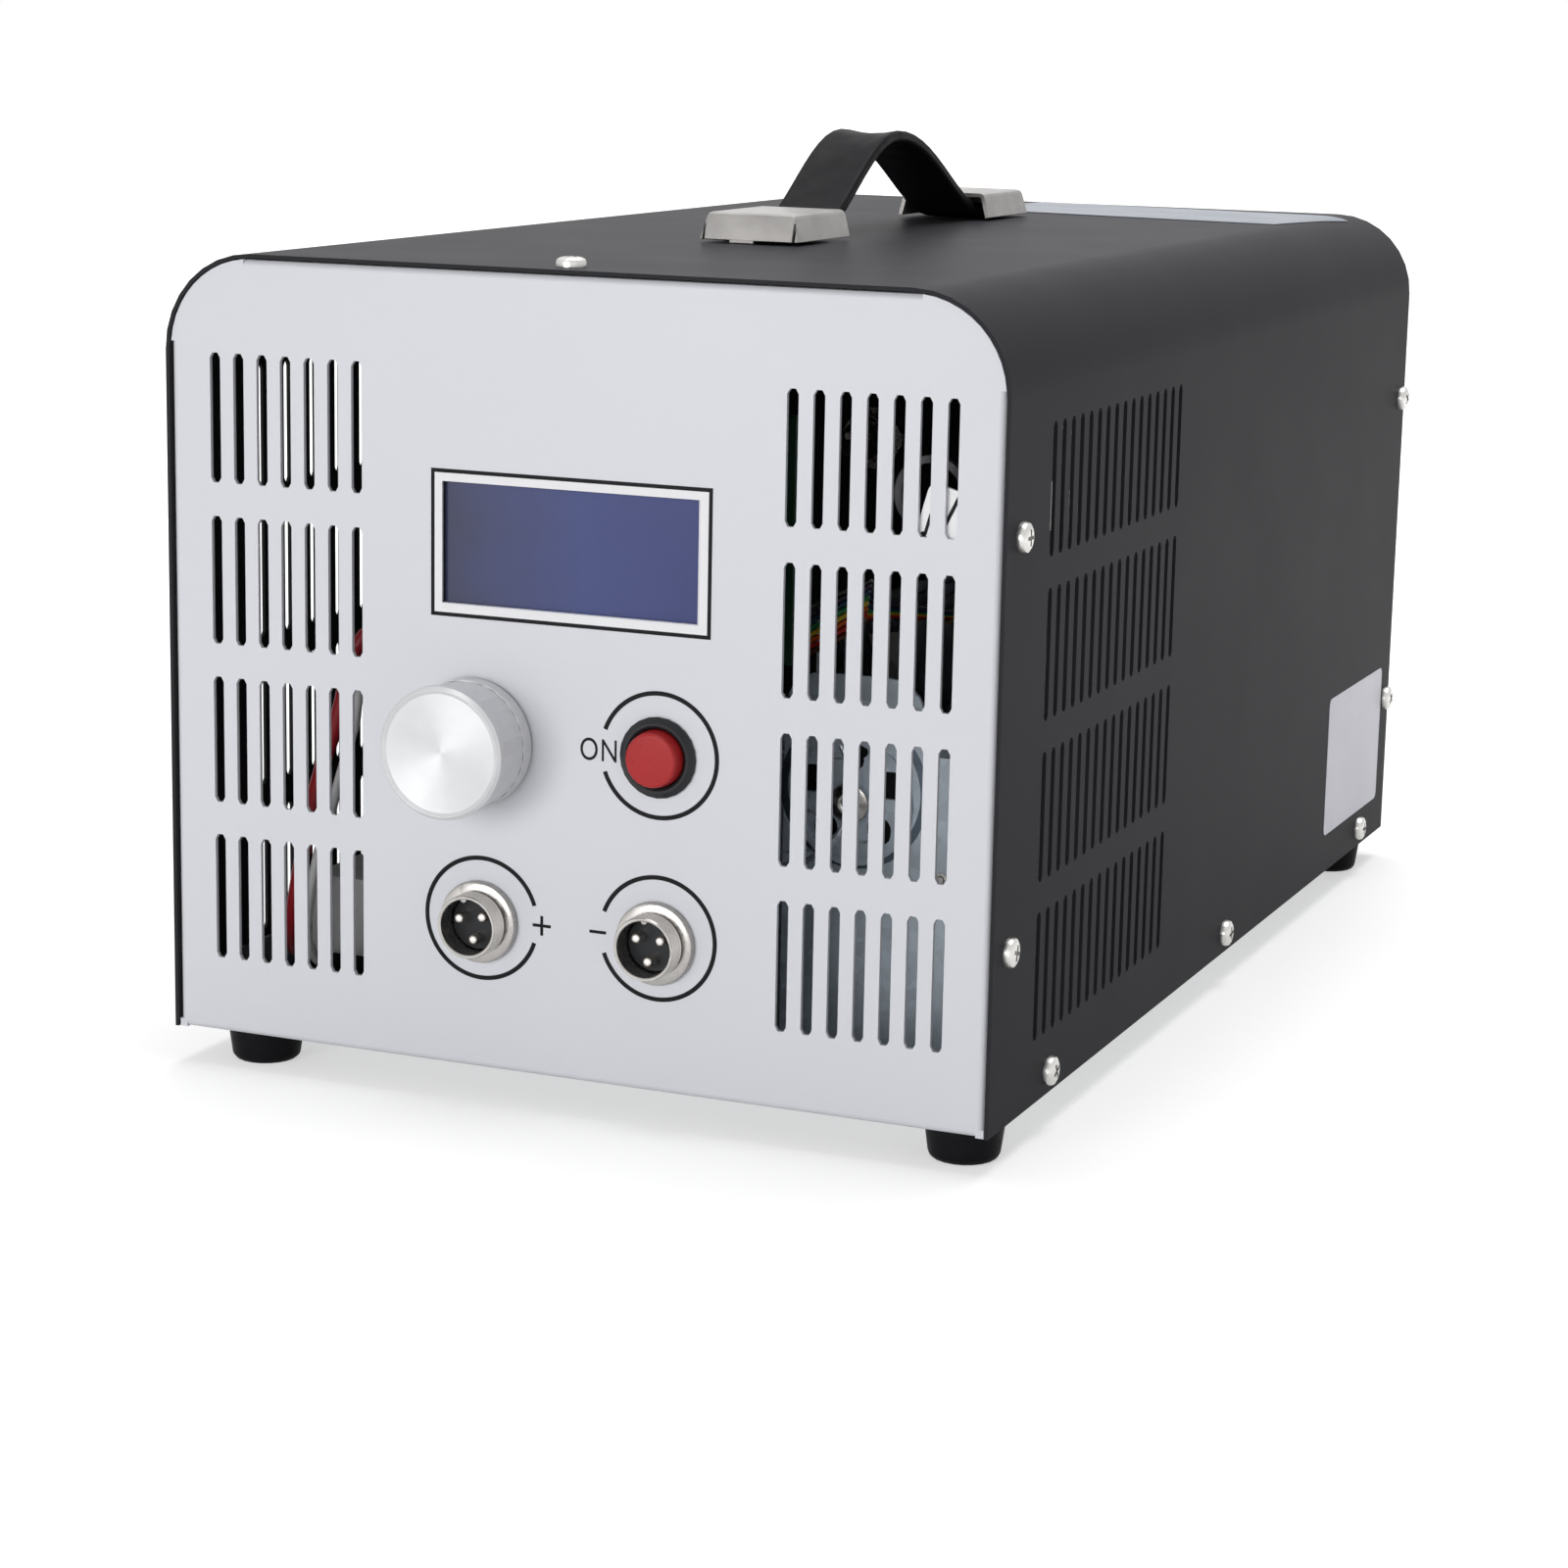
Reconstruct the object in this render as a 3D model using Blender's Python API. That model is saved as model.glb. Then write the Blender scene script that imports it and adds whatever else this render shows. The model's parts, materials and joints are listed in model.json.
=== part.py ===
# Bench instrument in a folded sheet steel case: battery capacity tester.
# Metres, +Z up, front panel facing -Y, origin on the bench under the middle of the case.
# Lengths below are in case coordinates: x across, y back from the face of the front panel,
# z up from the bottom edge of the cover.
import math

import bmesh
import bpy
from mathutils import Vector

MM = 0.001

# Fits
SEAT = 0.3 * MM             # gap between pieces that bear on each other
SLIP = 0.35 * MM            # radial gap round a piece that passes a hole

# Case
COVER_WIDTH = 228 * MM
COVER_HEIGHT = 203.5 * MM
COVER_SHEET = 1.0 * MM
COVER_RADIUS = 25 * MM
COVER_OVERHANG = 0.5 * MM   # how far the cover's edge stands past each panel
CASE_DEPTH = 391.5 * MM     # face of the front panel to face of the rear panel
PANEL_SHEET = 1.2 * MM
PANEL_BEND = 1.8 * MM         # outer radius of the folds
PANEL_GAP = 0.3 * MM        # between the cover's inside and the folded panels
PANEL_LIFT = 0 * MM         # panels end this far above the cover's bottom edge
FOLD_OVERRUN = 2.2 * MM     # folds run this far past the start of the round corners
FLANGE = 15 * MM            # depth of the panels' folded edges
FOOT_FLANGE_MARGIN = 1.5 * MM   # the bottom fold reaches this far past a foot
TRAY_WALL = 13 * MM         # height of the base tray's folded sides

# Ventilation
SLOT_WIDTH = 3 * MM
FRONT_SLOT_LENGTH = 33.5 * MM
FRONT_SLOT_PITCH = 6.8 * MM
FRONT_SLOT_ROW_PITCH = 41.7 * MM
FRONT_SLOT_COLUMNS = 7
FRONT_SLOT_INSET = 14.2 * MM        # outermost column from the cover's side
SLOT_ROWS = 4
FRONT_SLOT_TOP = 178.5 * MM
SIDE_SLOT_LENGTH = 33.1 * MM
SIDE_SLOT_PITCH = 6.88 * MM
SIDE_SLOT_ROW_PITCH = 40.5 * MM
SIDE_SLOT_COLUMNS = 16
SIDE_SLOT_FIRST_Y = 32.5 * MM
SIDE_SLOT_TOP = 171 * MM

# Feet
FOOT_HEIGHT = 9.6 * MM      # bench to the cover's bottom edge
FOOT_RADIUS = 10 * MM
FOOT_TAPER = 1 * MM
FOOT_ROUND = 1.2 * MM
FOOT_RECESS_RADIUS = 4.8 * MM
FOOT_RECESS_DEPTH = 5 * MM
FOOT_LEFT_INSET = 19.2 * MM     # middle of a foot from the cover's side
FOOT_RIGHT_INSET = 11.1 * MM
FOOT_FRONT_Y = 14 * MM
FOOT_REAR_INSET = 26 * MM

# Handle
HANDLE_X = -4.2 * MM
HANDLE_FRONT_Y = 118 * MM
HANDLE_LENGTH = 189.5 * MM
STRAP_WIDTH = 19.5 * MM
STRAP_THICKNESS = 3.4 * MM
STRAP_RISE = 24 * MM        # lift of the strap's crown above its flat ends
STRAP_CROWN_Y = 206 * MM
STRAP_BOW_FRONT = 60 * MM   # from the crown forward to where the strap lies flat
STRAP_BOW_REAR = 74 * MM
STRAP_DISH = 1.2 * MM       # edges stand this much above the middle at the crown
STRAP_FULLNESS_FRONT = 0.9  # below 1 the arch has fuller shoulders
STRAP_FULLNESS_REAR = 0.8
CAP_LENGTH = 37.5 * MM
CAP_WIDTH = 29.5 * MM
CAP_TOP_WIDTH = 26 * MM
CAP_HEIGHT = 8.3 * MM
CAP_SHEET = 1.1 * MM
CAP_SLIT = 0.8 * MM
CAP_TAB_WIDTH = 7 * MM
CAP_TAB_DROP = 0.8 * MM
STRAP_END_INSET = 4 * MM

# Controls
CONTROL_LEFT_X = -23.8 * MM
KNOB_X = -25.5 * MM
CONTROL_RIGHT_X = 25.2 * MM
KNOB_Z = 85.05 * MM
BUTTON_Z = 85.7 * MM
SOCKET_Z = 38.7 * MM
KNOB_REACH = 19.4 * MM      # face of the knob in front of the panel
KNOB_RIM_RADIUS = 16.8 * MM
KNOB_GRIP_RADIUS = 16.1 * MM
KNOB_COLLAR_RADIUS = 16.3 * MM
KNOB_COLLAR_LENGTH = 4 * MM
KNOB_RIM_LENGTH = 3.2 * MM
KNOB_FLUTES = 26
KNOB_FLUTE_DEPTH = 0.3 * MM
KNOB_FACE_DISH = 1.1 * MM
KNOB_LIFT = 0.9 * MM        # clear height between knob and panel, holds its push travel
KNOB_TRAVEL = 0.5 * MM
SHAFT_RADIUS = 3 * MM
BUSHING_RADIUS = 4.5 * MM
BUSHING_REACH = 4.5 * MM
ENCODER_WIDTH = 16 * MM
ENCODER_DEPTH = 9 * MM
ENCODER_STANDOFF = 6 * MM   # back of the panel to the encoder's body
BUTTON_RADIUS = 7.2 * MM
BUTTON_FACE_RADIUS = 6.8 * MM
BUTTON_REACH = 5.3 * MM
BUTTON_TRAVEL = 3 * MM
BUTTON_LENGTH = 11.5 * MM
BEZEL_RADIUS = 10.2 * MM
BEZEL_REACH = 1.9 * MM
SWITCH_RADIUS = 8.1 * MM
SWITCH_DEPTH = 20 * MM

# Panel connectors
SHELL_RADIUS = 8.2 * MM
SHELL_WALL = 1.0 * MM
SOCKET_REACH = 8.1 * MM
SOCKET_FLANGE_RADIUS = 10.6 * MM
SOCKET_FLANGE_THICKNESS = 2.2 * MM
SOCKET_DEPTH = 13 * MM      # behind the panel's face
PIN_RADIUS = 1.25 * MM
PIN_CIRCLE_RADIUS = 3.8 * MM
PIN_REACH = 5.7 * MM
INSERT_RECESS = 1.6 * MM    # insulator's face in front of the panel
KEY_RADIUS = 0.85 * MM      # round key inside the shell
NUT_THICKNESS = 2.6 * MM
SOCKET_NUT_RADIUS = 10.5 * MM

# Display
WINDOW_WIDTH = 70.2 * MM
WINDOW_HEIGHT = 30.8 * MM
WINDOW_Z = 134.9 * MM
GLASS_MARGIN = 2.5 * MM
GLASS_THICKNESS = 2.4 * MM
FRAME_MARGIN = 4 * MM
FRAME_DEPTH = 4.2 * MM
BOARD_THICKNESS = 1.6 * MM
DISPLAY_BOARD_WIDTH = 98 * MM
DISPLAY_BOARD_HEIGHT = 58 * MM
CONTROL_BOARD_WIDTH = 100 * MM
CONTROL_BOARD_HEIGHT = 62 * MM
CONTROL_BOARD_Y = 24 * MM
CONTROL_BOARD_Z = 138 * MM
CONNECTOR_HEIGHT = 8 * MM
POST_RADIUS = 2.6 * MM

# Fan motor and its impeller, behind the right hand slots
MOTOR_INSET = 55 * MM       # motor's axis from the cover's right side
MOTOR_Z = 69.4 * MM
BRACKET_Y = 45 * MM
BRACKET_WIDTH = 38 * MM
BRACKET_TOP = 102 * MM
BRACKET_SHEET = 1.2 * MM
BRACKET_CORNER = 10 * MM
BRACKET_FOOT = 22 * MM
MOTOR_RADIUS = 16.5 * MM
MOTOR_LENGTH = 32 * MM
MOTOR_BOSS_RADIUS = 5 * MM
MOTOR_BOSS_REACH = 2.2 * MM
VENT_HOLE_RADIUS = 4 * MM
MOTOR_WINDOW = 9 * MM
MOTOR_SHAFT_RADIUS = 1.6 * MM
IMPELLER_RADIUS = 38 * MM
IMPELLER_HUB_RADIUS = 11 * MM
IMPELLER_DEPTH = 13 * MM
IMPELLER_BLADES = 7
IMPELLER_CLEARANCE = 5 * MM # motor's back to the impeller

# Electronic load
HEATSINK_WIDTH = 84 * MM
HEATSINK_SIDE_GAP = 9 * MM
HEATSINK_FRONT_Y = 112 * MM
HEATSINK_FAN_GAP = 53 * MM  # heat sink to the exhaust fan
HEATSINK_BASE_Z = 30 * MM
HEATSINK_BASE = 7 * MM
HEATSINK_TOP = 104 * MM
HEATSINK_FINS = 11
FIN_THICKNESS = 2 * MM
POWER_BOARD_Z = 12 * MM
TRANSISTOR_COUNT = 4

# Supply, relay and wiring on the left
SUPPLY_WIDTH = 84 * MM
SUPPLY_SIDE_GAP = 10 * MM
SUPPLY_REAR_GAP = 91.5 * MM
SUPPLY_LENGTH = 130 * MM
SUPPLY_HEIGHT = 38 * MM
SUPPLY_SHEET = 1.2 * MM
SUPPLY_TERMINALS = 18 * MM
SUPPLY_SLOTS = 5
RELAY_SIDE_GAP = 23 * MM
RELAY_WIDTH = 42 * MM
RELAY_FRONT_Y = 26 * MM
RELAY_LENGTH = 40 * MM
RELAY_HEIGHT = 35 * MM
RELAY_BASE_HEIGHT = 8 * MM
WIRE_RADIUS = 2.1 * MM
RIBBON_WIDTH = 12 * MM
RIBBON_THICKNESS = 1.1 * MM

# Rear panel
FAN_WIDTH = 119 * MM
FAN_SIDE_GAP = 10.5 * MM
FAN_BOTTOM = 38.5 * MM
FAN_DEPTH = 25 * MM
FAN_RIM = 3 * MM            # narrowest wall round the bore
FAN_HUB_RADIUS = 20 * MM
FAN_BLADES = 7
FAN_TIP_GAP = 1.6 * MM
FAN_STRUTS = 4
GUARD_WIRE = 2.2 * MM
GUARD_RINGS = 4
INLET_INSET = 42 * MM       # inlet's middle from the cover's left side
INLET_Z = 62 * MM
INLET_WIDTH = 28 * MM
INLET_HEIGHT = 47 * MM
INLET_DEPTH = 24 * MM
INLET_FLANGE = 3 * MM
INLET_FLANGE_THICKNESS = 3 * MM
INLET_RECESS_DEPTH = 16 * MM
INLET_RECESS_WIDTH = 23 * MM
INLET_RECESS_HEIGHT = 16 * MM
DRAWER_WIDTH = 20 * MM
DRAWER_HEIGHT = 9 * MM
DRAWER_DEPTH = 20 * MM
DATA_SOCKET_Z = 120 * MM

# Places that follow from the sizes above
INNER_HALF = COVER_WIDTH / 2 - COVER_SHEET - PANEL_GAP
PANEL_TOP = COVER_HEIGHT - COVER_SHEET - PANEL_GAP
PANEL_RADIUS = COVER_RADIUS - COVER_SHEET - PANEL_GAP
TRAY_BOTTOM = PANEL_LIFT + PANEL_SHEET + SEAT
TRAY_FLOOR = TRAY_BOTTOM + PANEL_SHEET
COVER_SIDE = COVER_WIDTH / 2
FRONT_SLOT_OUTER_X = COVER_SIDE - FRONT_SLOT_INSET
FOOT_LEFT_X = FOOT_LEFT_INSET - COVER_SIDE
FOOT_RIGHT_X = COVER_SIDE - FOOT_RIGHT_INSET
MOTOR_X = COVER_SIDE - MOTOR_INSET
HEATSINK_X = COVER_SIDE - HEATSINK_SIDE_GAP - HEATSINK_WIDTH / 2
SUPPLY_X = SUPPLY_SIDE_GAP + SUPPLY_WIDTH / 2 - COVER_SIDE
SUPPLY_FRONT_Y = CASE_DEPTH - SUPPLY_REAR_GAP - SUPPLY_LENGTH
RELAY_LEFT_X = RELAY_SIDE_GAP - COVER_SIDE
INLET_X = INLET_INSET - COVER_SIDE
FAN_X = COVER_SIDE - FAN_SIDE_GAP - FAN_WIDTH / 2
FAN_Z = FAN_BOTTOM + FAN_WIDTH / 2
FAN_BORE_RADIUS = FAN_WIDTH / 2 - FAN_RIM
FAN_FRONT_Y = CASE_DEPTH - PANEL_SHEET - SEAT - FAN_DEPTH
HEATSINK_LENGTH = FAN_FRONT_Y - HEATSINK_FAN_GAP - HEATSINK_FRONT_Y
FRONT_Y = (KNOB_REACH - CASE_DEPTH - SOCKET_REACH) / 2
CASE_ORIGIN = Vector((0, FRONT_Y, FOOT_HEIGHT))


def clear_scene():
    for item in list(bpy.data.objects):
        bpy.data.objects.remove(item, do_unlink=True)


def material(name, colour, roughness, metallic=0.0):
    found = bpy.data.materials.get(name)
    if found:
        return found
    made = bpy.data.materials.new(name)
    made.use_nodes = True
    shader = made.node_tree.nodes["Principled BSDF"]
    shader.inputs["Base Color"].default_value = (*colour, 1.0)
    shader.inputs["Roughness"].default_value = roughness
    shader.inputs["Metallic"].default_value = metallic
    return made


def cover_paint():
    return material("cover_paint", (0.050, 0.050, 0.055), 0.45)


def panel_paint():
    return material("panel_paint", (0.69, 0.70, 0.74), 0.40)


def nickel():
    return material("nickel", (0.70, 0.68, 0.64), 0.25, 1.0)


def satin_aluminium():
    return material("satin_aluminium", (0.80, 0.81, 0.83), 0.28, 1.0)


def brushed_steel():
    return material("brushed_steel", (0.62, 0.60, 0.58), 0.35, 1.0)


def galvanised_steel():
    return material("galvanised_steel", (0.30, 0.35, 0.41), 0.42, 0.9)


def black_rubber():
    return material("black_rubber", (0.012, 0.012, 0.013), 0.6)


def black_plastic():
    return material("black_plastic", (0.020, 0.021, 0.023), 0.4)


def red_plastic():
    return material("red_plastic", (0.55, 0.030, 0.030), 0.35)


def circuit_board():
    return material("circuit_board", (0.020, 0.120, 0.045), 0.5)


def display_blue():
    return material("display_blue", (0.055, 0.085, 0.230), 0.2)


def grey_plastic():
    return material("grey_plastic", (0.20, 0.20, 0.21), 0.5)


def red_insulation():
    return material("red_insulation", (0.42, 0.020, 0.030), 0.45)


def grey_insulation():
    return material("grey_insulation", (0.26, 0.26, 0.27), 0.45)


# A node from a bmesh in case coordinates; pivot is where its origin goes
def make_node(name, bm, paint, pivot=(0, 0, 0), smooth_angle=None):
    pivot = Vector(pivot)
    bmesh.ops.translate(bm, verts=bm.verts, vec=-pivot)
    bmesh.ops.recalc_face_normals(bm, faces=bm.faces)
    mesh = bpy.data.meshes.new(name)
    bm.to_mesh(mesh)
    bm.free()
    node = bpy.data.objects.new(name, mesh)
    node.location = CASE_ORIGIN + pivot
    bpy.context.scene.collection.objects.link(node)
    mesh.materials.append(paint)
    if smooth_angle:
        mesh.shade_smooth()
        mesh.set_sharp_from_angle(angle=math.radians(smooth_angle))
    return node


# Applies a modifier stack by keeping the evaluated mesh
def apply_modifiers(node):
    bpy.context.view_layer.update()
    graph = bpy.context.evaluated_depsgraph_get()
    result = bpy.data.meshes.new_from_object(node.evaluated_get(graph))
    node.modifiers.clear()
    node.data = result
    result.name = node.name


def combine(node, other, operation):
    modifier = node.modifiers.new(operation.lower(), "BOOLEAN")
    modifier.operation = operation
    modifier.object = other
    apply_modifiers(node)
    bpy.data.objects.remove(other, do_unlink=True)


def cut(node, bm):
    combine(node, make_node("cutter", bm, node.data.materials[0]), "DIFFERENCE")


def add(node, bm):
    combine(node, make_node("addition", bm, node.data.materials[0]), "UNION")


def solidify(node, thickness):
    modifier = node.modifiers.new("sheet", "SOLIDIFY")
    modifier.thickness = thickness
    modifier.offset = -1
    modifier.use_even_offset = True
    apply_modifiers(node)


# Closed prism over an outline of (x, z) points, between two depths
def prism(bm, outline, near, far):
    front = [bm.verts.new((x, near, z)) for x, z in outline]
    back = [bm.verts.new((x, far, z)) for x, z in outline]
    bm.faces.new(front)
    bm.faces.new(list(reversed(back)))
    for here in range(len(outline)):
        there = (here + 1) % len(outline)
        bm.faces.new((front[there], front[here], back[here], back[there]))


def block(bm, low, high):
    outline = [(low[0], low[2]), (high[0], low[2]), (high[0], high[2]), (low[0], high[2])]
    prism(bm, outline, low[1], high[1])


# Turned solid: profile is a closed loop of (radius, distance along the axis)
def turn(bm, profile, centre, segments, axis="Y"):
    rings = []
    direction = Vector((0, 1, 0)) if axis == "Y" else Vector((0, 0, 1))
    for radius, along in profile:
        count = segments if radius > 0 else 1
        ring = []
        for step in range(count):
            angle = 2 * math.pi * step / segments
            across = radius * math.cos(angle)
            up = radius * math.sin(angle)
            if axis == "Y":
                spot = (centre[0] + across, centre[1] + along, centre[2] + up)
            else:
                spot = (centre[0] + across, centre[1] + up, centre[2] + along)
            ring.append(bm.verts.new(spot))
        rings.append(ring)
    flat_caps = []
    for ring, following in zip(rings, rings[1:] + rings[:1]):
        if len(ring) == 1 and len(following) == 1:
            continue
        for step in range(segments):
            onward = (step + 1) % segments
            corners = [ring[step % len(ring)], ring[onward % len(ring)],
                       following[onward % len(following)], following[step % len(following)]]
            bm.faces.new(list(dict.fromkeys(corners)))
        for tip, rim in ((ring, following), (following, ring)):
            if len(tip) == 1 and abs((tip[0].co - rim[0].co).dot(direction)) < 1e-7:
                flat_caps.append(tip[0])
    bmesh.ops.dissolve_verts(bm, verts=flat_caps)


def cylinder(bm, centre, radius, near, far, segments, axis="Y"):
    turn(bm, [(0, near), (radius, near), (radius, far), (0, far)], centre, segments, axis)


def ring_solid(bm, centre, inner, outer, near, far, segments):
    turn(bm, [(inner, near), (outer, near), (outer, far), (inner, far)], centre, segments)


def arc(centre, radius, start, end, steps):
    points = []
    for step in range(steps + 1):
        angle = math.radians(start + (end - start) * step / steps)
        points.append((centre[0] + radius * math.cos(angle), centre[1] + radius * math.sin(angle)))
    return points


# Upright slot with round ends, as (along, z) points
def slot_outline(middle, top, length, width):
    half = width / 2
    return (arc((middle, top - half), half, 0, 180, 3)
            + arc((middle, top - length + half), half, 180, 360, 3))


# Smooth curve through hand-placed points
def smooth_path(points, steps):
    spots = [Vector(point) for point in points]
    ends = [2 * spots[0] - spots[1], *spots, 2 * spots[-1] - spots[-2]]
    path = []
    for before, start, end, after in zip(ends, ends[1:], ends[2:], ends[3:]):
        for step in range(steps):
            t = step / steps
            path.append(0.5 * (2 * start + (end - before) * t
                               + (2 * before - 5 * start + 4 * end - after) * t * t
                               + (3 * start - before - 3 * end + after) * t ** 3))
    path.append(spots[-1])
    return path


# Outline of a panel seen from its face, with its folded edges:
# all four corners are flat, the four straight edges between them fold back
def panel_outline(top_radius):
    half, low, high = INNER_HALF, PANEL_LIFT, PANEL_TOP
    bend = PANEL_BEND
    notch = PANEL_BEND + SEAT
    start = math.degrees(math.asin(FOLD_OVERRUN / top_radius))
    corner = (half - top_radius, high - top_radius)
    side_top = corner[1] + FOLD_OVERRUN
    edge = corner[0] + FOLD_OVERRUN
    right = [(half - bend, low + notch), (half - bend, side_top)]
    top = [(edge, high - bend), (-edge, high - bend)]
    left = [(-half + bend, side_top), (-half + bend, low + notch)]
    bottom = [(-half + notch, low + bend), (half - notch, low + bend)]
    outline = [*right, *arc(corner, top_radius, start, 90 - start, 10), *top]
    outline += [*arc((-corner[0], corner[1]), top_radius, 90 + start, 180 - start, 10), *left]
    outline += [(-half, low + notch), (-half, low), (-half + notch, low), *bottom]
    outline += [(half - notch, low), (half, low), (half, low + notch)]
    return outline, [right, top, left, bottom]


# Folded steel panel; facing -1 looks to the front, +1 to the rear
def folded_panel(name, paint, face_y, facing, bottom_flange):
    outline, folds = panel_outline(PANEL_RADIUS)
    bm = bmesh.new()
    corners = [bm.verts.new((x, face_y, z)) for x, z in outline]
    bm.faces.new(corners)
    bm.verts.ensure_lookup_table()
    bend_steps = 3
    for fold in folds:
        start, end = fold
        along = (Vector(end) - Vector(start)).normalized()
        out = Vector((along.y, -along.x))
        row = [corners[outline.index(start)], corners[outline.index(end)]]
        stations = []
        for step in range(1, bend_steps + 1):
            angle = math.pi / 2 * step / bend_steps
            stations.append((PANEL_BEND * math.sin(angle), PANEL_BEND * (1 - math.cos(angle))))
        stations.append((PANEL_BEND, bottom_flange if fold is folds[-1] else FLANGE))
        for reach, back in stations:
            following = []
            for spot in (start, end):
                x = spot[0] + out.x * reach
                z = spot[1] + out.y * reach
                following.append(bm.verts.new((x, face_y - facing * back, z)))
            bm.faces.new((row[1], row[0], following[0], following[1]))
            row = following
    mesh = bpy.data.meshes.new(name)
    if facing > 0:
        bmesh.ops.reverse_faces(bm, faces=bm.faces)
    bm.to_mesh(mesh)
    bm.free()
    node = bpy.data.objects.new(name, mesh)
    node.location = CASE_ORIGIN
    bpy.context.scene.collection.objects.link(node)
    mesh.materials.append(paint)
    solidify(node, PANEL_SHEET)
    return node


def front_panel():
    foot_edge = FOOT_FRONT_Y + FOOT_RADIUS + FOOT_FLANGE_MARGIN
    node = folded_panel("front_panel", panel_paint(), 0, -1, foot_edge)
    holes = bmesh.new()
    near, far = -5 * MM, 8 * MM
    for side in (-1, 1):
        for column in range(FRONT_SLOT_COLUMNS):
            x = side * (FRONT_SLOT_OUTER_X - column * FRONT_SLOT_PITCH)
            for row in range(SLOT_ROWS):
                top = FRONT_SLOT_TOP - row * FRONT_SLOT_ROW_PITCH
                prism(holes, slot_outline(x, top, FRONT_SLOT_LENGTH, SLOT_WIDTH), near, far)
    half_w, half_h = WINDOW_WIDTH / 2, WINDOW_HEIGHT / 2
    block(holes, (-half_w, near, WINDOW_Z - half_h), (half_w, far, WINDOW_Z + half_h))
    cylinder(holes, (KNOB_X, 0, KNOB_Z), BUSHING_RADIUS + SLIP, near, far, 16)
    cylinder(holes, (CONTROL_RIGHT_X, 0, BUTTON_Z), SWITCH_RADIUS + SLIP, near, far, 20)
    for x in (CONTROL_LEFT_X, CONTROL_RIGHT_X):
        cylinder(holes, (x, 0, SOCKET_Z), SHELL_RADIUS + SLIP, near, far, 20)
    cut(node, holes)
    return node


def rear_panel():
    foot_edge = FOOT_REAR_INSET + FOOT_RADIUS + FOOT_FLANGE_MARGIN
    node = folded_panel("rear_panel", cover_paint(), CASE_DEPTH, 1, foot_edge)
    near, far = CASE_DEPTH - 8 * MM, CASE_DEPTH + 5 * MM
    holes = bmesh.new()
    cylinder(holes, (FAN_X, 0, FAN_Z), FAN_BORE_RADIUS, near, far, 32)
    half_w, half_h = INLET_WIDTH / 2 + SLIP, INLET_HEIGHT / 2 + SLIP
    block(holes, (INLET_X - half_w, near, INLET_Z - half_h), (INLET_X + half_w, far, INLET_Z + half_h))
    cylinder(holes, (INLET_X, 0, DATA_SOCKET_Z), SHELL_RADIUS + SLIP, near, far, 20)
    cut(node, holes)
    return node


def top_cover():
    half, high, radius = COVER_WIDTH / 2, COVER_HEIGHT, COVER_RADIUS
    profile = [(half, 0)]
    profile += arc((half - radius, high - radius), radius, 0, 90, 8)
    profile += arc((-half + radius, high - radius), radius, 90, 180, 8)
    profile += [(-half, 0)]
    bm = bmesh.new()
    ends = [-COVER_OVERHANG, CASE_DEPTH + COVER_OVERHANG]
    rows = [[bm.verts.new((x, y, z)) for x, z in profile] for y in ends]
    for here in range(len(profile) - 1):
        bm.faces.new((rows[0][here], rows[1][here], rows[1][here + 1], rows[0][here + 1]))
    mesh = bpy.data.meshes.new("top_cover")
    bm.to_mesh(mesh)
    bm.free()
    node = bpy.data.objects.new("top_cover", mesh)
    node.location = CASE_ORIGIN
    bpy.context.scene.collection.objects.link(node)
    mesh.materials.append(cover_paint())
    solidify(node, COVER_SHEET)
    slots = bmesh.new()
    reach = half + 5 * MM
    for column in range(SIDE_SLOT_COLUMNS):
        y = SIDE_SLOT_FIRST_Y + column * SIDE_SLOT_PITCH
        for row in range(SLOT_ROWS):
            top = SIDE_SLOT_TOP - row * SIDE_SLOT_ROW_PITCH
            outline = slot_outline(y, top, SIDE_SLOT_LENGTH, SLOT_WIDTH)
            near = [slots.verts.new((-reach, a, z)) for a, z in outline]
            far = [slots.verts.new((reach, a, z)) for a, z in outline]
            slots.faces.new(near)
            slots.faces.new(list(reversed(far)))
            for here in range(len(outline)):
                there = (here + 1) % len(outline)
                slots.faces.new((near[there], near[here], far[here], far[there]))
    cut(node, slots)
    return node


def base_tray():
    half = INNER_HALF
    near, far = PANEL_SHEET + SEAT, CASE_DEPTH - PANEL_SHEET - SEAT
    wall_near, wall_far = FLANGE + 2 * MM, CASE_DEPTH - FLANGE - 2 * MM
    floor_half = half - PANEL_SHEET - SEAT
    bm = bmesh.new()
    block(bm, (-floor_half, near, TRAY_BOTTOM), (floor_half, far, TRAY_FLOOR))
    node = make_node("base_tray", bm, brushed_steel())
    for side in (-1, 1):
        wall = bmesh.new()
        outside = side * half
        inside = side * (half - PANEL_SHEET)
        root = side * (floor_half - 1 * MM)
        bend = [(root, TRAY_BOTTOM), (outside - side * PANEL_BEND, TRAY_BOTTOM)]
        bend += [(outside - side * PANEL_BEND * 0.3, TRAY_BOTTOM + PANEL_BEND * 0.3)]
        bend += [(outside, TRAY_BOTTOM + PANEL_BEND), (outside, TRAY_BOTTOM + TRAY_WALL)]
        bend += [(inside, TRAY_BOTTOM + TRAY_WALL), (inside, TRAY_FLOOR), (root, TRAY_FLOOR)]
        prism(wall, bend, wall_near, wall_far)
        add(node, wall)
    return node


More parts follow.
